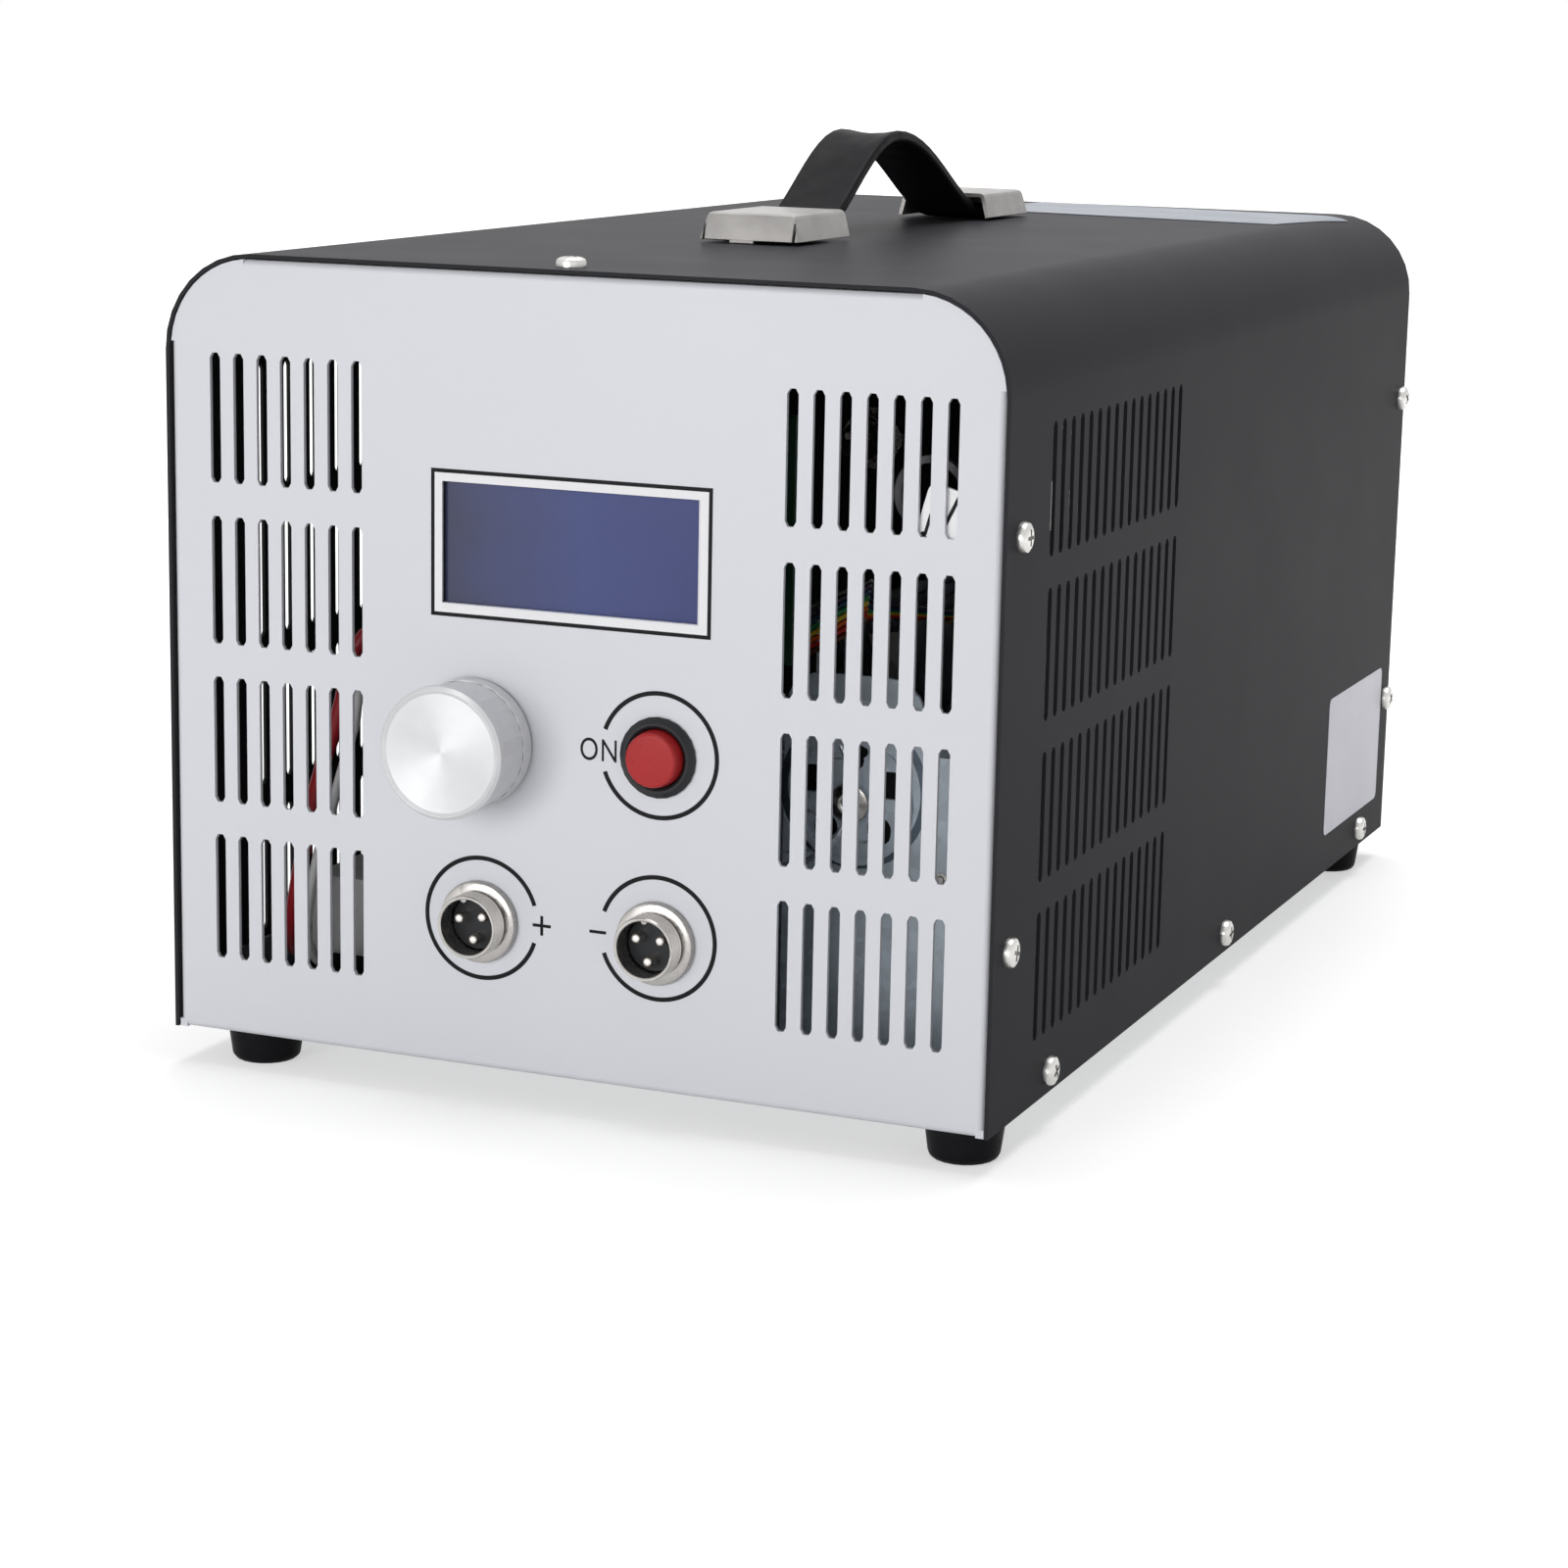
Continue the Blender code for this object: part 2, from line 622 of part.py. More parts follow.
def rubber_foot(name, x, y):
    seat = PANEL_LIFT - SEAT
    low = -FOOT_HEIGHT
    profile = [(0, seat), (FOOT_RADIUS - 0.6 * MM, seat), (FOOT_RADIUS, seat - 0.8 * MM)]
    profile += [(FOOT_RADIUS - FOOT_TAPER, low + FOOT_ROUND)]
    profile += [(FOOT_RADIUS - FOOT_TAPER - FOOT_ROUND * 0.9, low), (FOOT_RECESS_RADIUS, low)]
    profile += [(FOOT_RECESS_RADIUS - 0.4 * MM, low + FOOT_RECESS_DEPTH), (0, low + FOOT_RECESS_DEPTH)]
    bm = bmesh.new()
    turn(bm, profile, (x, y, 0), 20, "Z")
    return make_node(name, bm, black_rubber(), smooth_angle=35)


def feet():
    rear = CASE_DEPTH - FOOT_REAR_INSET
    rubber_foot("foot_front_left", FOOT_LEFT_X, FOOT_FRONT_Y)
    rubber_foot("foot_front_right", FOOT_RIGHT_X, FOOT_FRONT_Y)
    rubber_foot("foot_rear_left", FOOT_LEFT_X, rear)
    rubber_foot("foot_rear_right", FOOT_RIGHT_X, rear)


# Flat rubber strap that rises from its two screwed ends in one bow
def handle_strap():
    start = HANDLE_FRONT_Y + STRAP_END_INSET
    end = HANDLE_FRONT_Y + HANDLE_LENGTH - STRAP_END_INSET
    base = COVER_HEIGHT + SEAT + STRAP_THICKNESS / 2
    steps = 12
    stations = [(start, base, 0.0)]
    for step in range(-steps, steps + 1):
        length = STRAP_BOW_FRONT if step < 0 else STRAP_BOW_REAR
        fullness = STRAP_FULLNESS_FRONT if step < 0 else STRAP_FULLNESS_REAR
        bow = (0.5 + 0.5 * math.cos(math.pi * step / steps)) ** fullness
        stations.append((STRAP_CROWN_Y + length * step / steps, base + STRAP_RISE * bow, bow))
    stations.append((end, base, 0.0))
    across = [-0.5, -0.25, 0.0, 0.25, 0.5]
    bm = bmesh.new()
    rows = []
    for index, (y, z, bow) in enumerate(stations):
        before = stations[max(index - 1, 0)]
        after = stations[min(index + 1, len(stations) - 1)]
        along = Vector((after[0] - before[0], after[1] - before[1])).normalized()
        normal = Vector((-along.y, along.x))
        row = []
        for side in (1, -1):
            for share in across[::side]:
                lift = side * STRAP_THICKNESS / 2 + STRAP_DISH * bow * (2 * share) ** 2
                x = HANDLE_X + STRAP_WIDTH * share
                row.append(bm.verts.new((x, y + normal.x * lift, z + normal.y * lift)))
        rows.append(row)
    for row, following in zip(rows, rows[1:]):
        for here in range(len(row)):
            there = (here + 1) % len(row)
            bm.faces.new((row[here], row[there], following[there], following[here]))
    bm.faces.new(rows[0])
    bm.faces.new(list(reversed(rows[-1])))
    return make_node("handle_strap", bm, black_rubber(), smooth_angle=50)


# Folded steel cap over one end of the strap; toward is +1 where it opens to the rear
def handle_cap(name, closed_y, toward):
    low = COVER_HEIGHT + SEAT + CAP_TAB_DROP
    high = COVER_HEIGHT + CAP_HEIGHT
    open_y = closed_y + toward * CAP_LENGTH
    lean = (CAP_WIDTH - CAP_TOP_WIDTH) / 2
    lower = [(-CAP_WIDTH / 2, closed_y), (CAP_WIDTH / 2, closed_y),
             (CAP_WIDTH / 2, open_y), (-CAP_WIDTH / 2, open_y)]
    upper = [(-CAP_TOP_WIDTH / 2, closed_y + toward * lean), (CAP_TOP_WIDTH / 2, closed_y + toward * lean),
             (CAP_TOP_WIDTH / 2, open_y), (-CAP_TOP_WIDTH / 2, open_y)]
    bm = bmesh.new()
    bottom = [bm.verts.new((HANDLE_X + x, y, low)) for x, y in lower]
    top = [bm.verts.new((HANDLE_X + x, y, high)) for x, y in upper]
    bm.faces.new(top if toward > 0 else list(reversed(top)))
    for here, there in ((3, 0), (0, 1), (1, 2)):
        wall = (bottom[here], bottom[there], top[there], top[here])
        bm.faces.new(wall if toward > 0 else tuple(reversed(wall)))
    crease = [edge for edge in bm.edges if len(edge.link_faces) == 2]
    bmesh.ops.bevel(bm, geom=crease, offset=1.3 * MM, segments=2, affect="EDGES", profile=0.5)
    mesh = bpy.data.meshes.new(name)
    bm.to_mesh(mesh)
    bm.free()
    node = bpy.data.objects.new(name, mesh)
    node.location = CASE_ORIGIN
    bpy.context.scene.collection.objects.link(node)
    mesh.materials.append(brushed_steel())
    solidify(node, CAP_SHEET)
    tab = bmesh.new()
    tab_face = closed_y + toward * 0.2 * MM
    tab_ends = sorted((tab_face, tab_face + toward * CAP_SHEET * 0.8))
    block(tab, (HANDLE_X - CAP_TAB_WIDTH / 2 - 2 * MM, tab_ends[0], low - CAP_TAB_DROP),
          (HANDLE_X + CAP_TAB_WIDTH / 2 - 2 * MM, tab_ends[1], low + 1 * MM))
    add(node, tab)
    slit = bmesh.new()
    slit_ends = sorted((closed_y - toward * 1 * MM, closed_y + toward * 2.4 * MM))
    for side in (-1, 1):
        edge = HANDLE_X + side * (CAP_WIDTH / 2 - CAP_SHEET - CAP_SLIT)
        limits = sorted((edge, edge + side * CAP_SLIT))
        block(slit, (limits[0], slit_ends[0], low - 1 * MM), (limits[1], slit_ends[1], high - 2.4 * MM))
    cut(node, slit)
    return node


def handle():
    handle_strap()
    handle_cap("handle_cap_front", HANDLE_FRONT_Y, 1)
    handle_cap("handle_cap_rear", HANDLE_FRONT_Y + HANDLE_LENGTH, -1)


# Hexagon nut round an axis along Y
def hex_nut(name, paint, axis, thread_radius, flat_radius, near, far):
    bm = bmesh.new()
    turn(bm, [(0, near), (flat_radius / math.cos(math.pi / 6), near),
              (flat_radius / math.cos(math.pi / 6), far), (0, far)], axis, 6)
    node = make_node(name, bm, paint)
    bore = bmesh.new()
    cylinder(bore, axis, thread_radius + SLIP, near - 1 * MM, far + 1 * MM, 20)
    cut(node, bore)


# Turned aluminium knob: collar, fluted grip, rolled rim and dished face
def knob():
    axis = (KNOB_X, 0, KNOB_Z)
    back = -KNOB_LIFT
    collar = back - KNOB_COLLAR_LENGTH
    rim = -KNOB_REACH + KNOB_RIM_LENGTH
    face = -KNOB_REACH
    bore = BUSHING_RADIUS + 3 * MM
    bore_end = -BUSHING_REACH - NUT_THICKNESS - 1.2 * MM
    shaft_hole = SHAFT_RADIUS + SEAT
    hole_end = face + 4 * MM
    segments = KNOB_FLUTES * 2
    bm = bmesh.new()
    profile = [(bore, back), (KNOB_COLLAR_RADIUS, back), (KNOB_COLLAR_RADIUS, collar)]
    profile += [(KNOB_GRIP_RADIUS, collar), (KNOB_GRIP_RADIUS, rim), (KNOB_RIM_RADIUS, rim)]
    profile += [(KNOB_RIM_RADIUS, face + 1 * MM), (KNOB_RIM_RADIUS - 0.9 * MM, face)]
    profile += [(KNOB_RIM_RADIUS - 1.8 * MM, face + 0.7 * MM), (0, face + KNOB_FACE_DISH)]
    profile += [(0, hole_end), (shaft_hole, hole_end), (shaft_hole, bore_end), (bore, bore_end)]
    turn(bm, profile, axis, segments)
    for vertex in bm.verts:
        offset = Vector((vertex.co.x - axis[0], vertex.co.z - axis[2]))
        on_grip = abs(offset.length - KNOB_GRIP_RADIUS) < 0.01 * MM
        step = round(math.atan2(offset.y, offset.x) / (2 * math.pi) * segments)
        if on_grip and step % 2:
            shrink = (KNOB_GRIP_RADIUS - KNOB_FLUTE_DEPTH) / KNOB_GRIP_RADIUS
            vertex.co.x = axis[0] + offset.x * shrink
            vertex.co.z = axis[2] + offset.y * shrink
    return make_node("knob", bm, satin_aluminium(), pivot=axis)


def encoder():
    axis = (KNOB_X, 0, KNOB_Z)
    front = PANEL_SHEET + SEAT
    body_near = PANEL_SHEET + ENCODER_STANDOFF
    body_far = body_near + ENCODER_DEPTH
    half = ENCODER_WIDTH / 2
    well = half - 2 * MM
    well_start = body_near + 3 * MM
    bore = SHAFT_RADIUS + SLIP
    body = bmesh.new()
    block(body, (axis[0] - half, body_near, axis[2] - half), (axis[0] + half, body_far, axis[2] + half))
    node = make_node("encoder_body", body, black_plastic())
    bushing = bmesh.new()
    cylinder(bushing, axis, BUSHING_RADIUS, -BUSHING_REACH, body_near + 1 * MM, 20)
    add(node, bushing)
    shoulder = bmesh.new()
    cylinder(shoulder, axis, BUSHING_RADIUS + 2 * MM, front, body_near + 0.5 * MM, 20)
    add(node, shoulder)
    hollow = bmesh.new()
    cylinder(hollow, axis, bore, -BUSHING_REACH - 1 * MM, well_start + 1 * MM, 20)
    cut(node, hollow)
    pocket = bmesh.new()
    cylinder(pocket, axis, well, well_start, body_far + 1 * MM, 20)
    cut(node, pocket)
    hex_nut("encoder_nut", nickel(), axis, BUSHING_RADIUS, BUSHING_RADIUS + 2 * MM, -NUT_THICKNESS, -SEAT)
    rotor = bmesh.new()
    ring_solid(rotor, axis, SHAFT_RADIUS + SLIP, well - SLIP, well_start + SEAT, body_far - 1 * MM, 20)
    make_node("encoder_rotor", rotor, black_plastic(), pivot=axis)
    shaft = bmesh.new()
    shaft_end = body_far - 1 * MM
    shaft_tip = -KNOB_REACH + 4 * MM + SEAT
    cylinder(shaft, axis, SHAFT_RADIUS, shaft_tip, shaft_end, 16)
    make_node("encoder_shaft", shaft, nickel(), pivot=axis)
    board = bmesh.new()
    reach = half + 3 * MM
    block(board, (axis[0] - reach, body_far + SEAT, axis[2] - reach),
          (axis[0] + reach, body_far + SEAT + BOARD_THICKNESS, axis[2] + reach))
    make_node("encoder_board", board, circuit_board())


def power_switch():
    axis = (CONTROL_RIGHT_X, 0, BUTTON_Z)
    bore = BUTTON_RADIUS + SLIP
    bore_end = -BUTTON_REACH + BUTTON_LENGTH + BUTTON_TRAVEL + 1 * MM
    bezel_edge = BEZEL_RADIUS - 1.4 * MM
    profile = [(bore, -BEZEL_REACH + 0.5 * MM), (bezel_edge - 0.6 * MM, -BEZEL_REACH)]
    profile += [(bezel_edge, -BEZEL_REACH), (BEZEL_RADIUS, -SEAT - 0.5 * MM), (BEZEL_RADIUS, -SEAT)]
    profile += [(SWITCH_RADIUS, -SEAT), (SWITCH_RADIUS, SWITCH_DEPTH), (0, SWITCH_DEPTH)]
    profile += [(0, bore_end), (bore, bore_end)]
    bm = bmesh.new()
    turn(bm, profile, axis, 24)
    make_node("power_switch_body", bm, black_plastic(), smooth_angle=40)
    back = -BUTTON_REACH + BUTTON_LENGTH
    cap = bmesh.new()
    turn(cap, [(0, -BUTTON_REACH - 0.15 * MM), (BUTTON_FACE_RADIUS - 0.4 * MM, -BUTTON_REACH),
               (BUTTON_FACE_RADIUS, -BUTTON_REACH + 0.4 * MM), (BUTTON_RADIUS, -BEZEL_REACH - 0.3 * MM),
               (BUTTON_RADIUS, back), (0, back)], axis, 24)
    make_node("power_button", cap, red_plastic(), pivot=axis, smooth_angle=40)
    near = PANEL_SHEET + SEAT
    hex_nut("power_switch_nut", black_plastic(), axis, SWITCH_RADIUS, SWITCH_RADIUS + 2.5 * MM,
            near, near + NUT_THICKNESS)


# Three-pin panel connector; facing is -1 on the front panel, +1 on the rear one
def panel_connector(name, x, face_y, z, facing, turned=0):
    axis = (x, face_y, z)
    bore = SHELL_RADIUS - SHELL_WALL
    reach, seat = facing * SOCKET_REACH, facing * SEAT
    flange = facing * SOCKET_FLANGE_THICKNESS
    rim = facing * (SOCKET_REACH - 0.5 * MM)
    back = -facing * SOCKET_DEPTH
    profile = [(bore, back), (SHELL_RADIUS, back), (SHELL_RADIUS, seat), (SOCKET_FLANGE_RADIUS, seat)]
    profile += [(SOCKET_FLANGE_RADIUS, flange * 0.75), (SOCKET_FLANGE_RADIUS - 0.6 * MM, flange)]
    profile += [(SHELL_RADIUS, flange), (SHELL_RADIUS, rim), (SHELL_RADIUS - 0.35 * MM, reach), (bore, reach)]
    shell = bmesh.new()
    turn(shell, profile, axis, 24)
    node = make_node(name + "_shell", shell, nickel(), smooth_angle=35)
    key = bmesh.new()
    key_ends = sorted((face_y + facing * (INSERT_RECESS + 0.6 * MM), face_y + reach - facing * 0.4 * MM))
    key_angle = math.radians(90 + turned)
    key_spot = (x + bore * math.cos(key_angle), z + bore * math.sin(key_angle))
    cylinder(key, (key_spot[0], 0, key_spot[1]), KEY_RADIUS, key_ends[0], key_ends[1], 10)
    add(node, key)
    body = bmesh.new()
    insert_ends = (facing * INSERT_RECESS, back - facing * 1.5 * MM)
    cylinder(body, axis, bore - SEAT, *insert_ends, 24)
    insert = make_node(name + "_insert", body, black_plastic(), smooth_angle=35)
    for angle in (30 + turned, 150 + turned, 270 + turned):
        pin = bmesh.new()
        spot_x = x + PIN_CIRCLE_RADIUS * math.cos(math.radians(angle))
        spot_z = z + PIN_CIRCLE_RADIUS * math.sin(math.radians(angle))
        tip = facing * PIN_REACH
        cylinder(pin, (spot_x, face_y, spot_z), PIN_RADIUS, tip, insert_ends[1] - facing * 4 * MM, 10)
        add(insert, pin)
    ends = sorted((-facing * (PANEL_SHEET + SEAT), -facing * (PANEL_SHEET + SEAT + NUT_THICKNESS)))
    hex_nut(name + "_nut", nickel(), axis, SHELL_RADIUS, SOCKET_NUT_RADIUS, *ends)


def display():
    glass_y = PANEL_SHEET + SEAT
    half_w = WINDOW_WIDTH / 2 + GLASS_MARGIN
    half_h = WINDOW_HEIGHT / 2 + GLASS_MARGIN
    glass = bmesh.new()
    block(glass, (-half_w, glass_y, WINDOW_Z - half_h), (half_w, glass_y + GLASS_THICKNESS, WINDOW_Z + half_h))
    make_node("display_glass", glass, display_blue())
    frame = bmesh.new()
    outer_w, outer_h = half_w + FRAME_MARGIN, half_h + FRAME_MARGIN
    frame_far = glass_y + FRAME_DEPTH
    block(frame, (-outer_w, glass_y, WINDOW_Z - outer_h), (outer_w, frame_far, WINDOW_Z + outer_h))
    node = make_node("display_frame", frame, galvanised_steel())
    opening = bmesh.new()
    block(opening, (-half_w - SEAT, glass_y - 1 * MM, WINDOW_Z - half_h - SEAT),
          (half_w + SEAT, glass_y + GLASS_THICKNESS + SEAT, WINDOW_Z + half_h + SEAT))
    cut(node, opening)
    board_y = frame_far + SEAT
    half_w, half_h = DISPLAY_BOARD_WIDTH / 2, DISPLAY_BOARD_HEIGHT / 2
    board = bmesh.new()
    block(board, (-half_w, board_y, WINDOW_Z - half_h), (half_w, board_y + BOARD_THICKNESS, WINDOW_Z + half_h))
    node = make_node("display_board", board, circuit_board())
    posts = bmesh.new()
    for x in (-half_w + 3 * MM, half_w - 3 * MM):
        for z in (WINDOW_Z - half_h + 3 * MM, WINDOW_Z + half_h - 3 * MM):
            cylinder(posts, (x, 0, z), POST_RADIUS, glass_y, board_y + BOARD_THICKNESS / 2, 8)
    add(node, posts)


def control_board():
    half_w, half_h = CONTROL_BOARD_WIDTH / 2, CONTROL_BOARD_HEIGHT / 2
    near, far = CONTROL_BOARD_Y, CONTROL_BOARD_Y + BOARD_THICKNESS
    display_back = PANEL_SHEET + SEAT + FRAME_DEPTH + SEAT + BOARD_THICKNESS
    bm = bmesh.new()
    block(bm, (-half_w, near, CONTROL_BOARD_Z - half_h), (half_w, far, CONTROL_BOARD_Z + half_h))
    node = make_node("control_board", bm, circuit_board())
    posts = bmesh.new()
    for x in (-DISPLAY_BOARD_WIDTH / 2 + 3 * MM, DISPLAY_BOARD_WIDTH / 2 - 3 * MM):
        for z in (WINDOW_Z - DISPLAY_BOARD_HEIGHT / 2 + 3 * MM, WINDOW_Z + DISPLAY_BOARD_HEIGHT / 2 - 3 * MM):
            cylinder(posts, (x, 0, z), POST_RADIUS, display_back + SEAT, near + BOARD_THICKNESS / 2, 8)
    add(node, posts)
    parts = bmesh.new()
    surface = far - BOARD_THICKNESS / 2
    tall = far + CONNECTOR_HEIGHT
    block(parts, (-12 * MM, surface, CONTROL_BOARD_Z - 8 * MM), (6 * MM, far + 2 * MM, CONTROL_BOARD_Z + 8 * MM))
    block(parts, (18 * MM, surface, CONTROL_BOARD_Z + 12 * MM), (44 * MM, tall, CONTROL_BOARD_Z + 20 * MM))
    block(parts, (-44 * MM, surface, CONTROL_BOARD_Z - 26 * MM), (-24 * MM, tall, CONTROL_BOARD_Z - 18 * MM))
    for x in (-34 * MM, -22 * MM):
        cylinder(parts, (x, 0, CONTROL_BOARD_Z + 10 * MM), 4 * MM, surface, far + 12 * MM, 10)
    add(node, parts)


# Round topped plate on a bent foot, stamped as the front bell of the fan motor
def motor_bracket():
    near, far = BRACKET_Y, BRACKET_Y + BRACKET_SHEET
    half = BRACKET_WIDTH / 2
    floor = TRAY_FLOOR + SEAT
    left, right = MOTOR_X - half, MOTOR_X + half
    outline = [(left, floor), (right, floor)]
    outline += arc((right - BRACKET_CORNER, BRACKET_TOP - BRACKET_CORNER), BRACKET_CORNER, 0, 90, 5)
    outline += arc((left + BRACKET_CORNER, BRACKET_TOP - BRACKET_CORNER), BRACKET_CORNER, 90, 180, 5)
    bm = bmesh.new()
    prism(bm, outline, near, far)
    node = make_node("motor_bracket", bm, galvanised_steel())
    foot = bmesh.new()
    block(foot, (left, near + BRACKET_SHEET / 2, floor), (right, near + BRACKET_FOOT, floor + BRACKET_SHEET))
    add(node, foot)
    axis = (MOTOR_X, 0, MOTOR_Z)
    ridge = bmesh.new()
    ring_solid(ridge, axis, MOTOR_RADIUS - 1.6 * MM, MOTOR_RADIUS, near - 0.9 * MM, near + BRACKET_SHEET / 2, 28)
    add(node, ridge)
    boss = bmesh.new()
    cylinder(boss, axis, MOTOR_BOSS_RADIUS, near - MOTOR_BOSS_REACH, near + BRACKET_SHEET / 2, 16)
    add(node, boss)
    holes = bmesh.new()
    spread = MOTOR_RADIUS * 0.66
    for angle in (90, 225, 315):
        spot = (MOTOR_X + spread * math.cos(math.radians(angle)), 0, MOTOR_Z + spread * math.sin(math.radians(angle)))
        cylinder(holes, spot, VENT_HOLE_RADIUS * 0.72, near - 1 * MM, far + 1 * MM, 12)
    for side in (-1, 1):
        low = (MOTOR_X + side * spread - MOTOR_WINDOW * 0.3, near - 1 * MM, MOTOR_Z + 1.5 * MM)
        high = (MOTOR_X + side * spread + MOTOR_WINDOW * 0.3, far + 1 * MM, MOTOR_Z + 1.5 * MM + MOTOR_WINDOW * 0.8)
        block(holes, low, high)
    cylinder(holes, axis, MOTOR_SHAFT_RADIUS + SLIP, near - MOTOR_BOSS_REACH - 1 * MM, far + 1 * MM, 12)
    cut(node, holes)


def fan_motor():
    axis = (MOTOR_X, 0, MOTOR_Z)
    near = BRACKET_Y + BRACKET_SHEET + SEAT
    far = near + MOTOR_LENGTH
    wall = 1.6 * MM
    bore = MOTOR_SHAFT_RADIUS + SLIP
    profile = [(MOTOR_RADIUS - wall, near), (MOTOR_RADIUS, near), (MOTOR_RADIUS, far), (bore, far)]
    profile += [(bore, near + 9 * MM), (MOTOR_RADIUS - wall, near + 9 * MM)]
    bm = bmesh.new()
    turn(bm, profile, axis, 28)
    make_node("motor_can", bm, galvanised_steel(), smooth_angle=35)
    hub_near = far + IMPELLER_CLEARANCE
    hub_far = hub_near + IMPELLER_DEPTH
    hub = bmesh.new()
    turn(hub, [(0, hub_near), (IMPELLER_HUB_RADIUS, hub_near), (IMPELLER_HUB_RADIUS, hub_far), (0, hub_far)], axis, 21)
    node = make_node("fan_impeller", hub, black_plastic(), pivot=axis)
    add_blades(node, axis, hub_near, hub_far, IMPELLER_HUB_RADIUS, IMPELLER_RADIUS, IMPELLER_BLADES)
    spindle = bmesh.new()
    cylinder(spindle, axis, MOTOR_SHAFT_RADIUS, BRACKET_Y - MOTOR_BOSS_REACH, hub_near + 1 * MM, 10)
    add(node, spindle)


# Twisted blades from hub to tip, added to a hub that turns about Y
def add_blades(node, axis, near, far, root, tip, count):
    blades = bmesh.new()
    inset = 1.2 * MM
    half_chord = (far - near) / 2 - 1.4 * MM
    middle = (near + far) / 2
    thickness = 1.5 * MM
    for blade in range(count):
        turned = 2 * math.pi * blade / count
        rows = []
        for radius, sweep in ((root - inset, 0.30), ((root + tip) / 2, 0.24), (tip, 0.20)):
            row = []
            for lean, side in ((-1, -1), (1, -1), (1, 1), (-1, 1)):
                angle = turned + lean * sweep + side * thickness / 2 / radius
                x = axis[0] + radius * math.cos(angle)
                z = axis[2] + radius * math.sin(angle)
                row.append(blades.verts.new((x, middle + lean * half_chord, z)))
            rows.append(row)
        for row, following in zip(rows, rows[1:]):
            for here in range(4):
                there = (here + 1) % 4
                blades.faces.new((row[here], row[there], following[there], following[here]))
        blades.faces.new(rows[0])
        blades.faces.new(list(reversed(rows[-1])))
    bmesh.ops.triangulate(blades, faces=blades.faces)
    add(node, blades)


# Finned aluminium extrusion that stands on two legs over the power board
def load_heatsink():
    left = HEATSINK_X - HEATSINK_WIDTH / 2
    right = left + HEATSINK_WIDTH
    leg = 4 * MM
    floor = TRAY_FLOOR + SEAT
    top_of_base = HEATSINK_BASE_Z + HEATSINK_BASE
    outline = [(left, floor), (left + leg, floor), (left + leg, HEATSINK_BASE_Z)]
    outline += [(right - leg, HEATSINK_BASE_Z), (right - leg, floor), (right, floor)]
    pitch = (HEATSINK_WIDTH - FIN_THICKNESS) / (HEATSINK_FINS - 1)
    for fin in range(HEATSINK_FINS):
        edge = right - fin * pitch
        outline += [(edge, HEATSINK_TOP), (edge - FIN_THICKNESS, HEATSINK_TOP)]
        if fin < HEATSINK_FINS - 1:
            outline += [(edge - FIN_THICKNESS, top_of_base), (edge - pitch, top_of_base)]
    bm = bmesh.new()
    prism(bm, outline, HEATSINK_FRONT_Y, HEATSINK_FRONT_Y + HEATSINK_LENGTH)
    make_node("load_heatsink", bm, satin_aluminium())


def power_board():
    left = HEATSINK_X - HEATSINK_WIDTH / 2 + 8 * MM
    right = HEATSINK_X + HEATSINK_WIDTH / 2 - 8 * MM
    near = HEATSINK_FRONT_Y + 10 * MM
    far = HEATSINK_FRONT_Y + HEATSINK_LENGTH - 10 * MM
    top = POWER_BOARD_Z + BOARD_THICKNESS
    bm = bmesh.new()
    block(bm, (left, near, POWER_BOARD_Z), (right, far, top))
    node = make_node("power_board", bm, circuit_board())
    extras = bmesh.new()
    for x in (left + 5 * MM, right - 5 * MM):
        for y in (near + 5 * MM, far - 5 * MM):
            cylinder(extras, (x, y, 0), POST_RADIUS, TRAY_FLOOR + SEAT, top - BOARD_THICKNESS / 2, 8, "Z")
    pitch = (far - near - 40 * MM) / (TRANSISTOR_COUNT - 1)
    for index in range(TRANSISTOR_COUNT):
        y = near + 20 * MM + index * pitch
        block(extras, (HEATSINK_X - 8 * MM, y - 8 * MM, top - BOARD_THICKNESS / 2),
              (HEATSINK_X + 8 * MM, y + 8 * MM, HEATSINK_BASE_Z - SEAT))
    add(node, extras)


